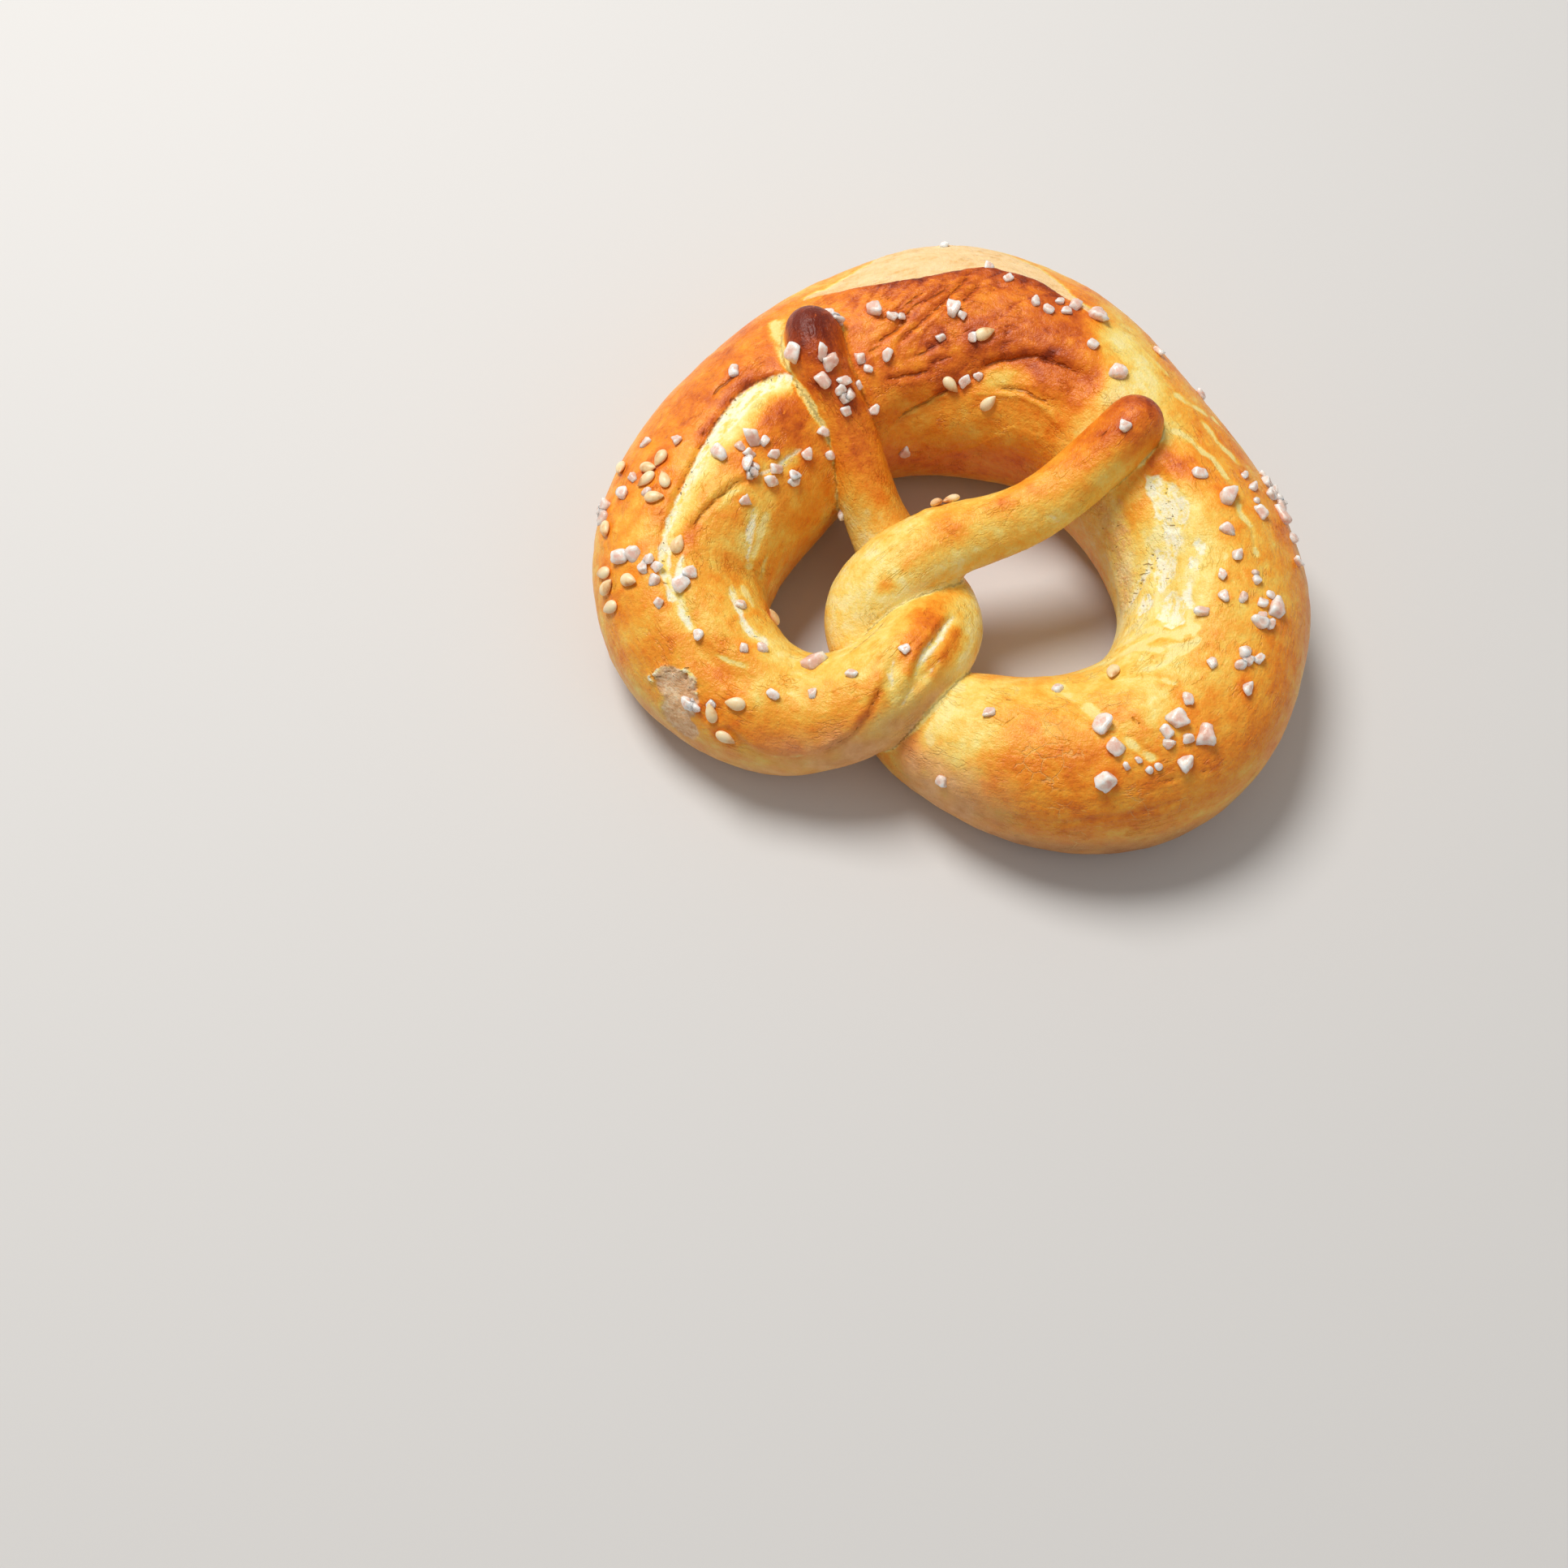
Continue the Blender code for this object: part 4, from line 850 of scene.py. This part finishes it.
class Nodes:
    """Short ways of building a material's node tree."""

    def __init__(self, name):
        self.material = bpy.data.materials.new(name)
        self.material.use_nodes = True
        self.tree = self.material.node_tree
        self.shader = self.tree.nodes["Principled BSDF"]
        self.out = self.tree.nodes["Material Output"]

    def node(self, kind, **settings):
        made = self.tree.nodes.new(kind)
        for key, value in settings.items():
            setattr(made, key, value)
        return made

    def link(self, a, b):
        if isinstance(a, (int, float)):
            b.default_value = a
        elif isinstance(a, tuple):
            b.default_value = a
        else:
            self.tree.links.new(a, b)

    def math(self, operation, a, b=0.0, clamp=False):
        m = self.node("ShaderNodeMath", operation=operation, use_clamp=clamp)
        self.link(a, m.inputs[0])
        self.link(b, m.inputs[1])
        return m.outputs[0]

    def add(self, a, b):
        return self.math("ADD", a, b)

    def times(self, a, b):
        return self.math("MULTIPLY", a, b)

    def step(self, value, low, high):
        """0 below low, 1 above high, smooth between."""
        m = self.node("ShaderNodeMapRange", interpolation_type="SMOOTHSTEP")
        self.link(value, m.inputs["Value"])
        m.inputs["From Min"].default_value = low
        m.inputs["From Max"].default_value = high
        return m.outputs["Result"]

    def field(self, name):
        return self.node("ShaderNodeAttribute", attribute_name=name).outputs["Fac"]

    def noise(self, size, detail=3.0, rough=0.55, vector=None, distortion=0.0):
        """Noise around 0.5 with features of about this many mm."""
        m = self.node("ShaderNodeTexNoise")
        m.inputs["Scale"].default_value = 1.0 / (size * (1.0 if vector is not None else MM))
        m.inputs["Detail"].default_value = detail
        m.inputs["Roughness"].default_value = rough
        m.inputs["Distortion"].default_value = distortion
        self.link(vector if vector is not None else self.place(), m.inputs["Vector"])
        return m.outputs["Fac"]

    def cells(self, size, feature="F1", vector=None):
        m = self.node("ShaderNodeTexVoronoi", feature=feature)
        m.inputs["Scale"].default_value = 1.0 / (size * (1.0 if vector is not None else MM))
        self.link(vector if vector is not None else self.place(), m.inputs["Vector"])
        return m.outputs["Distance"]

    def warped(self, size, amount):
        """Object coordinates pushed about by noise: size and amount in mm."""
        m = self.node("ShaderNodeTexNoise")
        m.inputs["Scale"].default_value = 1.0 / (size * MM)
        m.inputs["Detail"].default_value = 2.0
        self.link(self.place(), m.inputs["Vector"])
        shift = self.node("ShaderNodeVectorMath", operation="MULTIPLY_ADD")
        self.link(m.outputs["Color"], shift.inputs[0])
        shift.inputs[1].default_value = (amount * MM,) * 3
        self.link(self.place(), shift.inputs[2])
        moved = self.node("ShaderNodeVectorMath", operation="SCALE")
        self.link(shift.outputs[0], moved.inputs[0])
        moved.inputs["Scale"].default_value = 1.0 / MM
        return moved.outputs[0]

    def place(self):
        if not hasattr(self, "_place"):
            self._place = self.node("ShaderNodeTexCoord").outputs["Object"]
        return self._place

    def ramp(self, value, stops):
        m = self.node("ShaderNodeValToRGB")
        e = m.color_ramp.elements
        e[0].position, e[0].color = stops[0][0], (*stops[0][1], 1)
        e[1].position, e[1].color = stops[-1][0], (*stops[-1][1], 1)
        for position, colour in stops[1:-1]:
            extra = e.new(position)
            extra.color = (*colour, 1)
        self.link(value, m.inputs["Fac"])
        return m.outputs["Color"]

    def mix(self, share, a, b, blend="MIX"):
        m = self.node("ShaderNodeMix", data_type="RGBA", blend_type=blend, clamp_factor=True)
        self.link(share, m.inputs[0])
        self.link(a, m.inputs[6])
        self.link(b, m.inputs[7])
        return m.outputs[2]


def seen(r, g, b, light=1.0):
    """Linear colour of an sRGB triple, divided by how brightly it is lit."""
    out = []
    for v in (r, g, b):
        v /= 255.0
        v = v / 12.92 if v <= 0.04045 else ((v + 0.055) / 1.055) ** 2.4
        out.append(min(v / light, 0.97))
    return tuple(out)


def seen4(r, g, b, light=1.0):
    return (*seen(r, g, b, light), 1.0)


# ==============================================================  crust material
n = Nodes("pretzel_crust")


def rope_space(along, across, twist=0.0):
    """A vector that runs with the rope, stretched by these factors."""
    joined = n.node("ShaderNodeCombineXYZ")
    s_, t_ = n.field("rope_s"), n.field("rope_t")
    n.link(n.times(n.add(s_, n.times(t_, twist)), along), joined.inputs[0])
    n.link(n.times(t_, across), joined.inputs[1])
    return joined.outputs[0]


big = n.noise(5.0, 3.0, 0.55)
mid = n.noise(1.8, 3.0, 0.6)
fine = n.noise(0.6, 3.0, 0.65)
streak = n.noise(1.3, 3.0, 0.6, rope_space(0.36, 1.0))
tiny = n.noise(0.28, 2.0, 0.6)

level = n.field("toast")
level = n.add(level, n.times(n.add(big, -0.5), 0.36))
level = n.add(level, n.times(n.add(mid, -0.5), 0.38))
level = n.add(level, n.times(n.add(streak, -0.5), 0.18))
level = n.add(level, n.times(n.add(fine, -0.5), 0.20))
# thin browner creases running at a slant to the rope, and pale flecks where the skin stretched
slant = n.noise(1.5, 3.0, 0.55, rope_space(0.35, 1.0, 0.5))
ridge = n.math("ABSOLUTE", n.add(slant, -0.5))
crinkle = n.times(n.step(ridge, 0.035, 0.0), n.step(n.noise(4.2, 2.0, 0.5), 0.50, 0.64))
level = n.add(level, n.times(crinkle, 0.05))
fleck = n.step(n.noise(0.85, 3.0, 0.6, rope_space(0.55, 1.0, -0.3)), 0.60, 0.70)
fleck = n.times(fleck, n.step(n.noise(4.0, 2.0, 0.5), 0.44, 0.60))
level = n.add(level, n.times(n.times(fleck, -0.26), level))

pale_level = n.step(n.add(n.field("pale"), n.times(n.add(n.add(mid, fine), -1.0), 0.50)), 0.14, 0.72)
level = n.add(level, n.times(n.times(pale_level, -0.88), n.add(level, -0.06)))
# the low field: hardly browned dough near the tray, plus painted shade on the low sides and front flanks
level = n.add(level, n.times(n.times(n.field("low"), -0.60), n.add(level, -0.42)))

LIT = 0.95
crust_colour = n.ramp(level, [
    (0.00, seen(255, 230, 160, LIT)), (0.10, seen(255, 217, 120, LIT)), (0.22, seen(252, 196, 84, LIT)),
    (0.36, seen(248, 168, 54, LIT)), (0.50, seen(240, 142, 34, LIT)), (0.62, seen(224, 117, 25, LIT)),
    (0.74, seen(200, 91, 20, LIT)), (0.87, seen(158, 60, 10, LIT)), (1.00, seen(110, 32, 8, LIT)),
])
# the most stretched skin turns cream-white
crust_colour = n.mix(n.times(n.step(pale_level, 0.50, 1.0), 0.40), crust_colour, seen4(255, 229, 164, LIT))
# tan, hardly baked dough near the tray, darker here as painted shade on the low sides and front flanks
crust_colour = n.mix(n.times(n.field("low"), 0.8), crust_colour,
                     n.ramp(n.noise(2.6, 4.0, 0.6), [(0.3, seen(208, 146, 94, LIT)), (0.7, seen(240, 192, 142, LIT))]))
# painted shade: the far end of the right lobe is coloured darker down there, away from the lamp
right_low_shade = n.times(n.field("low"), n.times(n.step(n.field("rope_s"), 236.0, 256.0), n.step(n.field("rope_s"), 299.0, 286.0)))
crust_colour = n.mix(n.times(right_low_shade, 0.75), crust_colour,
                     n.ramp(n.noise(2.2, 4.0, 0.6), [(0.3, seen(134, 74, 28, LIT)), (0.7, seen(168, 104, 52, LIT))]))
crust_colour = n.mix(n.times(n.field("under"), 0.85), crust_colour,
                     n.ramp(n.noise(7.0, 4.0, 0.6), [(0.3, seen(188, 132, 74, LIT)), (0.7, seen(222, 178, 118, LIT))]))

# fine pale crackle in the browned skin, here and there
cells = n.cells(2.6, "DISTANCE_TO_EDGE", n.warped(0.9, 0.8))
crackle = n.times(n.step(cells, 0.045, 0.010), n.step(n.noise(6.0, 2.0, 0.5), 0.52, 0.62))
crackle = n.times(crackle, n.times(n.step(n.field("rope_s"), 268.0, 275.0), n.step(n.field("rope_s"), 300.0, 293.0)))
crust_colour = n.mix(n.times(crackle, 0.30), crust_colour, seen4(250, 205, 130, LIT))
# pinpoint freckles
freckle = n.times(n.step(n.noise(0.45, 1.0, 0.5), 0.69, 0.76), n.step(n.field("toast"), 0.25, 0.6))
crust_colour = n.mix(n.times(freckle, 0.40), crust_colour, seen4(150, 72, 24, LIT))

# bare crumb, ragged at its edge
crumb_edge = n.add(n.field("crumb"), n.add(n.times(n.add(fine, -0.5), 0.30), n.times(n.add(mid, -0.5), 0.22)))
crumb_here = n.step(crumb_edge, 0.34, 0.64)
crumb_tone = n.add(n.times(n.noise(1.7, 3.0, 0.6, rope_space(0.45, 1.0)), 0.65), n.times(n.noise(0.8, 3.0, 0.6), 0.35))
crumb_colour = n.ramp(crumb_tone, [
    (0.37, seen(254, 208, 96, LIT)), (0.44, seen(255, 224, 140, LIT)), (0.51, seen(255, 238, 198, LIT)),
    (0.62, seen(255, 243, 220, LIT))])
crumb_colour = n.mix(n.field("warm"), crumb_colour, n.ramp(crumb_tone, [
    (0.34, seen(226, 178, 112, LIT)), (0.46, seen(238, 200, 144, LIT)), (0.62, seen(244, 212, 162, LIT))]))
colour = n.mix(crumb_here, crust_colour, crumb_colour)

grey_edge = n.add(n.field("grey"), n.times(n.add(n.add(fine, mid), -1.0), 0.4))
grey_here = n.step(grey_edge, 0.26, 0.72)
grey_colour = n.ramp(n.add(n.times(n.noise(1.0, 3.0, 0.6, rope_space(1.0, 0.4, 0.6)), 0.55), n.times(n.noise(0.5, 3.0, 0.7), 0.45)), [
    (0.38, seen(206, 156, 112, LIT)), (0.5, seen(234, 190, 148, LIT)), (0.62, seen(252, 224, 192, LIT))])
colour = n.mix(n.times(grey_here, 0.88), colour, grey_colour)

# painted shade: dark pores and dashes in stretched dough and crumb; and thin dark lines, browner crust whose dark cores
# are painted shade in the creases
dashes = n.noise(0.62, 1.0, 0.5, rope_space(1.0, 0.38, 0.5))
pores = n.noise(0.50, 1.0, 0.5)
hole = n.node("ShaderNodeMath", operation="MAXIMUM")
n.link(dashes, hole.inputs[0])
n.link(n.add(pores, -0.02), hole.inputs[1])
pore_limit = n.add(hole.outputs[0], n.times(n.field("speck"), 0.20))
pore_here = n.times(n.step(pore_limit, 0.80, 0.85), n.step(n.field("speck"), 0.05, 0.3))
colour = n.mix(n.times(pore_here, 0.66), colour, seen4(132, 76, 26, LIT))
line_level = n.add(n.field("dark"), n.times(n.add(fine, -0.5), 0.24))
line_here = n.step(line_level, 0.84, 1.03)
crease_brown_and_shade_colour = n.ramp(n.field("toast"), [(0.30, seen(170, 116, 50, LIT)), (0.75, seen(118, 46, 18, LIT))])
colour = n.mix(n.times(line_here, 0.66), colour, crease_brown_and_shade_colour)

n.link(colour, n.shader.inputs["Base Color"])
rough = n.add(0.36, n.add(n.times(n.add(mid, -0.5), 0.24), n.times(crumb_here, 0.32)))
rough = n.add(rough, n.times(n.add(grey_here, n.field("low")), 0.22))
n.link(rough, n.shader.inputs["Roughness"])
n.shader.inputs["Specular IOR Level"].default_value = 0.32
n.shader.inputs["Subsurface Weight"].default_value = 0.10
n.shader.inputs["Subsurface Radius"].default_value = (1.0, 0.45, 0.18)
n.shader.inputs["Subsurface Scale"].default_value = 0.0016

# skin texture too fine for the mesh
skin = n.add(n.times(fine, 0.75), n.add(n.times(tiny, 0.25), n.times(streak, 0.7)))
skin = n.add(skin, n.times(crinkle, -0.4))
skin = n.add(skin, n.times(pore_here, -1.6))
skin = n.add(skin, n.times(line_here, -0.9))
skin = n.add(skin, n.times(crackle, -0.35))
skin = n.add(skin, n.times(n.times(crumb_here, n.noise(0.45, 4.0, 0.7)), 0.25))
skin = n.add(skin, n.times(n.times(grey_here, n.noise(0.5, 4.0, 0.7)), 0.9))
bump = n.node("ShaderNodeBump")
bump.inputs["Strength"].default_value = 0.8
bump.inputs["Distance"].default_value = 0.00030
n.link(skin, bump.inputs["Height"])
n.link(bump.outputs["Normal"], n.shader.inputs["Normal"])
dough.data.materials.clear()
dough.data.materials.append(n.material)

# ======================================================  salt and sesame seeds
shape_tree = BVHTree.FromPolygons(P.tolist(), TRI.tolist())
SHIFT = np.array([CENTRE[0], CENTRE[1], 0.0])


def spot(s, degrees):
    """Point on the finished dough's surface over this place on the rope, and its normal."""
    turn = np.array([math.radians(degrees)])
    here = rope.surface(np.array([s]), turn)[0] - SHIFT
    a = rope.surface(np.array([s + 0.4]), turn)[0] - rope.surface(np.array([s - 0.4]), turn)[0]
    b = rope.surface(np.array([s]), turn + 0.03)[0] - rope.surface(np.array([s]), turn - 0.03)[0]
    normal = np.cross(b, a)
    normal /= np.linalg.norm(normal)
    middle = rope.section(np.array([s]))[0][0] - SHIFT
    if np.dot(normal, here - middle) < 0:
        normal = -normal
    hit, face_normal, face, dist = shape_tree.ray_cast(Vector(here + normal * 3.0), Vector(-normal), 8.0)
    if hit is None:
        hit, face_normal, face, dist = shape_tree.find_nearest(Vector(here))
    return np.array(hit), normal


def frame_at(normal, spin):
    helper = np.array([0.0, 0.0, 1.0]) if abs(normal[2]) < 0.9 else np.array([1.0, 0.0, 0.0])
    x = np.cross(helper, normal)
    x /= np.linalg.norm(x)
    y = np.cross(normal, x)
    c, s_ = math.cos(spin), math.sin(spin)
    return np.stack([x * c + y * s_, -x * s_ + y * c, normal], axis=1)


def ball(level):
    """Unit sphere of small triangles."""
    bm = bmesh.new()
    bmesh.ops.create_icosphere(bm, subdivisions=level, radius=1.0)
    vs = np.array([v.co for v in bm.verts])
    fs = [tuple(v.index for v in f.verts) for f in bm.faces]
    bm.free()
    return vs, fs


BALLS = {2: ball(2), 3: ball(3)}


def make_grain(size):
    """A worn lump of rock salt: flat faces meeting in rounded edges, dented here and there."""
    vs, fs = BALLS[3 if size > 1.3 else 2]
    faces = [np.array(v, float) for v in ((1, 0, 0), (-1, 0, 0), (0, 1, 0), (0, -1, 0), (0, 0, 1), (0, 0, -1))]
    normals, reach = [], []
    stretch = rng.uniform(1.0, 1.4)
    sides = (stretch, stretch, 1 / stretch ** 0.5, 1 / stretch ** 0.5, 0.72, 0.72)
    for v, side in zip(faces, sides):
        v = v + rng.normal(scale=0.22, size=3)
        normals.append(v / np.linalg.norm(v))
        reach.append(side * rng.uniform(0.8, 1.0))
    for _ in range(rng.integers(4, 8)):
        v = rng.normal(size=3)
        v /= np.linalg.norm(v)
        normals.append(v)
        reach.append(rng.uniform(0.85, 1.05))
    pull = np.clip(vs @ np.array(normals).T, 0, None) / np.array(reach)
    radius = (pull ** 9).sum(1) ** (-1 / 9)
    seed = int(rng.integers(1, 9000))
    radius = radius * (1 + 0.16 * layered(vs, 0.9, seed, 2) + 0.07 * layered(vs, 0.40, seed + 3, 1))
    return vs * (radius * size * 0.56)[:, None], fs, size * 0.20, radius / radius.max()


def spread(places, maker, tilt_by):
    """Puts one shape at each place and returns one joined mesh's vertices and faces, and how far out each vertex lies."""
    all_v, all_f, all_rim = [], [], []
    for s, degrees, size in places:
        vs, fs, sink, rim = maker(size)
        hit, normal = spot(s, degrees)
        turn = frame_at(normal, rng.uniform(0, 2 * math.pi))
        tilt = Matrix.Rotation(rng.uniform(-tilt_by, tilt_by), 3, "X") @ Matrix.Rotation(rng.uniform(-tilt_by, tilt_by), 3, "Y")
        world = (np.array(vs) @ np.array(tilt).T) @ turn.T + hit + normal * sink
        base = len(all_v)
        all_v += world.tolist()
        all_f += [tuple(base + k for k in f) for f in fs]
        all_rim += list(rim)
    return all_v, all_f, all_rim


def make_seed(size):
    """A plump flat teardrop, pointed at one end."""
    length, width, thick = size * rng.uniform(0.92, 1.06), size * 0.64 * rng.uniform(0.92, 1.06), size * 0.40
    rings, sides = 14, 16
    vs, fs, rim = [(-length / 2, 0, 0)], [], [0.0]
    for i in range(1, rings):
        u = i / rings
        x = (1 - math.cos(math.pi * u)) / 2
        r = 2 * math.sqrt(x * (1 - x)) * (1.06 - 0.62 * x ** 2.2)
        for j in range(sides):
            a = 2 * math.pi * j / sides
            vs.append((-length / 2 + length * x, width / 2 * r * math.cos(a), thick / 2 * r * math.sin(a) * (1 + 0.12 * math.sin(a))))
            rim.append(x)
    vs.append((length / 2, 0, 0))
    rim.append(1.0)
    for j in range(sides):
        k = (j + 1) % sides
        fs.append((0, 1 + k, 1 + j))
        for i in range(rings - 2):
            fs.append((1 + i * sides + j, 1 + i * sides + k, 1 + (i + 1) * sides + k, 1 + (i + 1) * sides + j))
        fs.append((len(vs) - 1, 1 + (rings - 2) * sides + j, 1 + (rings - 2) * sides + k))
    return vs, fs, thick * 0.36, rim


def joined(name, parts):
    vs, fs, rim = parts
    made = mesh_object(name, np.array(vs), fs)
    layer = made.data.attributes.new("rim", "FLOAT", "POINT")
    layer.data.foreach_set("value", np.array(rim, np.float32))
    made.data.shade_smooth()
    return made


salt = joined("salt_grains", spread(salt_places, make_grain, 0.30))
sesame = joined("sesame_seeds", spread(seed_places, make_seed, 0.10))

m = Nodes("rock_salt")
# painted light: the further out a vertex lies, the whiter it is; painted highlights on the corners, a pinkish tint on
# the faces standing for crust seen through the grain, and painted shade in the dents
salt_glint_and_tone = m.add(m.times(m.field("rim"), 0.9), m.times(m.add(m.noise(0.8, 3.0, 0.6), -0.5), 0.9))
body = m.ramp(salt_glint_and_tone, [(0.38, seen(236, 196, 180)), (0.56, seen(247, 224, 213)), (0.72, seen(254, 240, 232)), (0.86, seen(255, 252, 250))])
m.link(body, m.shader.inputs["Base Color"])
m.shader.inputs["Roughness"].default_value = 0.22
m.shader.inputs["IOR"].default_value = 1.54
m.shader.inputs["Subsurface Weight"].default_value = 0.8
m.shader.inputs["Subsurface Radius"].default_value = (1.0, 0.86, 0.78)
m.shader.inputs["Subsurface Scale"].default_value = 0.0014
b2 = m.node("ShaderNodeBump")
b2.inputs["Strength"].default_value = 0.4
b2.inputs["Distance"].default_value = 0.00012
m.link(m.noise(0.4, 3.0, 0.6), b2.inputs["Height"])
m.link(b2.outputs["Normal"], m.shader.inputs["Normal"])
salt.data.materials.append(m.material)

m = Nodes("toasted_sesame")
skin_tone = m.add(m.times(m.field("rim"), -0.28), m.add(m.noise(2.2, 3.0, 0.6), 0.12))
body = m.ramp(skin_tone, [(0.22, seen(204, 134, 70)), (0.42, seen(246, 210, 156)), (0.60, seen(253, 230, 188))])
m.link(body, m.shader.inputs["Base Color"])
m.shader.inputs["Roughness"].default_value = 0.38
m.shader.inputs["Subsurface Weight"].default_value = 0.15
m.shader.inputs["Subsurface Radius"].default_value = (1.0, 0.6, 0.3)
m.shader.inputs["Subsurface Scale"].default_value = 0.0008
sesame.data.materials.append(m.material)

for piece in (dough, salt, sesame):
    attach(piece, "root")
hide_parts("pretzel")

# ==================================================================  surroundings
floor = mesh_object("floor", np.array([(-3000, -3000, 0), (3000, -3000, 0), (3000, 3000, 0), (-3000, 3000, 0)], float), [(0, 1, 2, 3)])
m = Nodes("floor_pale")
m.shader.inputs["Base Color"].default_value = (0.70, 0.69, 0.68, 1.0)
m.shader.inputs["Roughness"].default_value = 0.85
floor.data.materials.append(m.material)


def area_light(name, place, size, watts, colour):
    lamp = bpy.data.lights.new(name, "AREA")
    lamp.shape = "DISK"
    lamp.size = size
    lamp.energy = watts
    lamp.color = colour
    made = bpy.data.objects.new(name, lamp)
    made.location = place
    made.rotation_euler = (-Vector(place)).to_track_quat("-Z", "Y").to_euler()
    bpy.context.scene.collection.objects.link(made)
    return made


area_light("window", (-0.31, 0.24, 0.67), 0.34, 5.3, (1.0, 0.98, 0.95))
area_light("fill", (0.50, -0.25, 0.55), 0.6, 0.4, (1.0, 0.96, 0.9))

world = bpy.data.worlds.new("room")
world.use_nodes = True
world.node_tree.nodes["Background"].inputs["Color"].default_value = (1.0, 0.985, 0.96, 1.0)
world.node_tree.nodes["Background"].inputs["Strength"].default_value = 0.30
bpy.context.scene.world = world

# ========================================================================  camera
lens = bpy.data.cameras.new("view")
lens.sensor_width = 36.0
lens.lens = 18.0 / math.tan(math.radians(25.0))
lens.clip_start = 0.001
camera = bpy.data.objects.new("view", lens)
A, E = math.radians(12.0), math.radians(68.0)
forward = Vector((-math.sin(A) * math.cos(E), math.cos(A) * math.cos(E), -math.sin(E)))
right = Vector((math.cos(A), math.sin(A), 0.0))
above = right.cross(forward)
camera.matrix_world = Matrix((
    (right.x, above.x, -forward.x, 0.001418),
    (right.y, above.y, -forward.y, -0.139292),
    (right.z, above.z, -forward.z, 0.244130),
    (0, 0, 0, 1),
))
bpy.context.scene.collection.objects.link(camera)
bpy.context.scene.camera = camera
bpy.context.scene.view_settings.view_transform = "Standard"
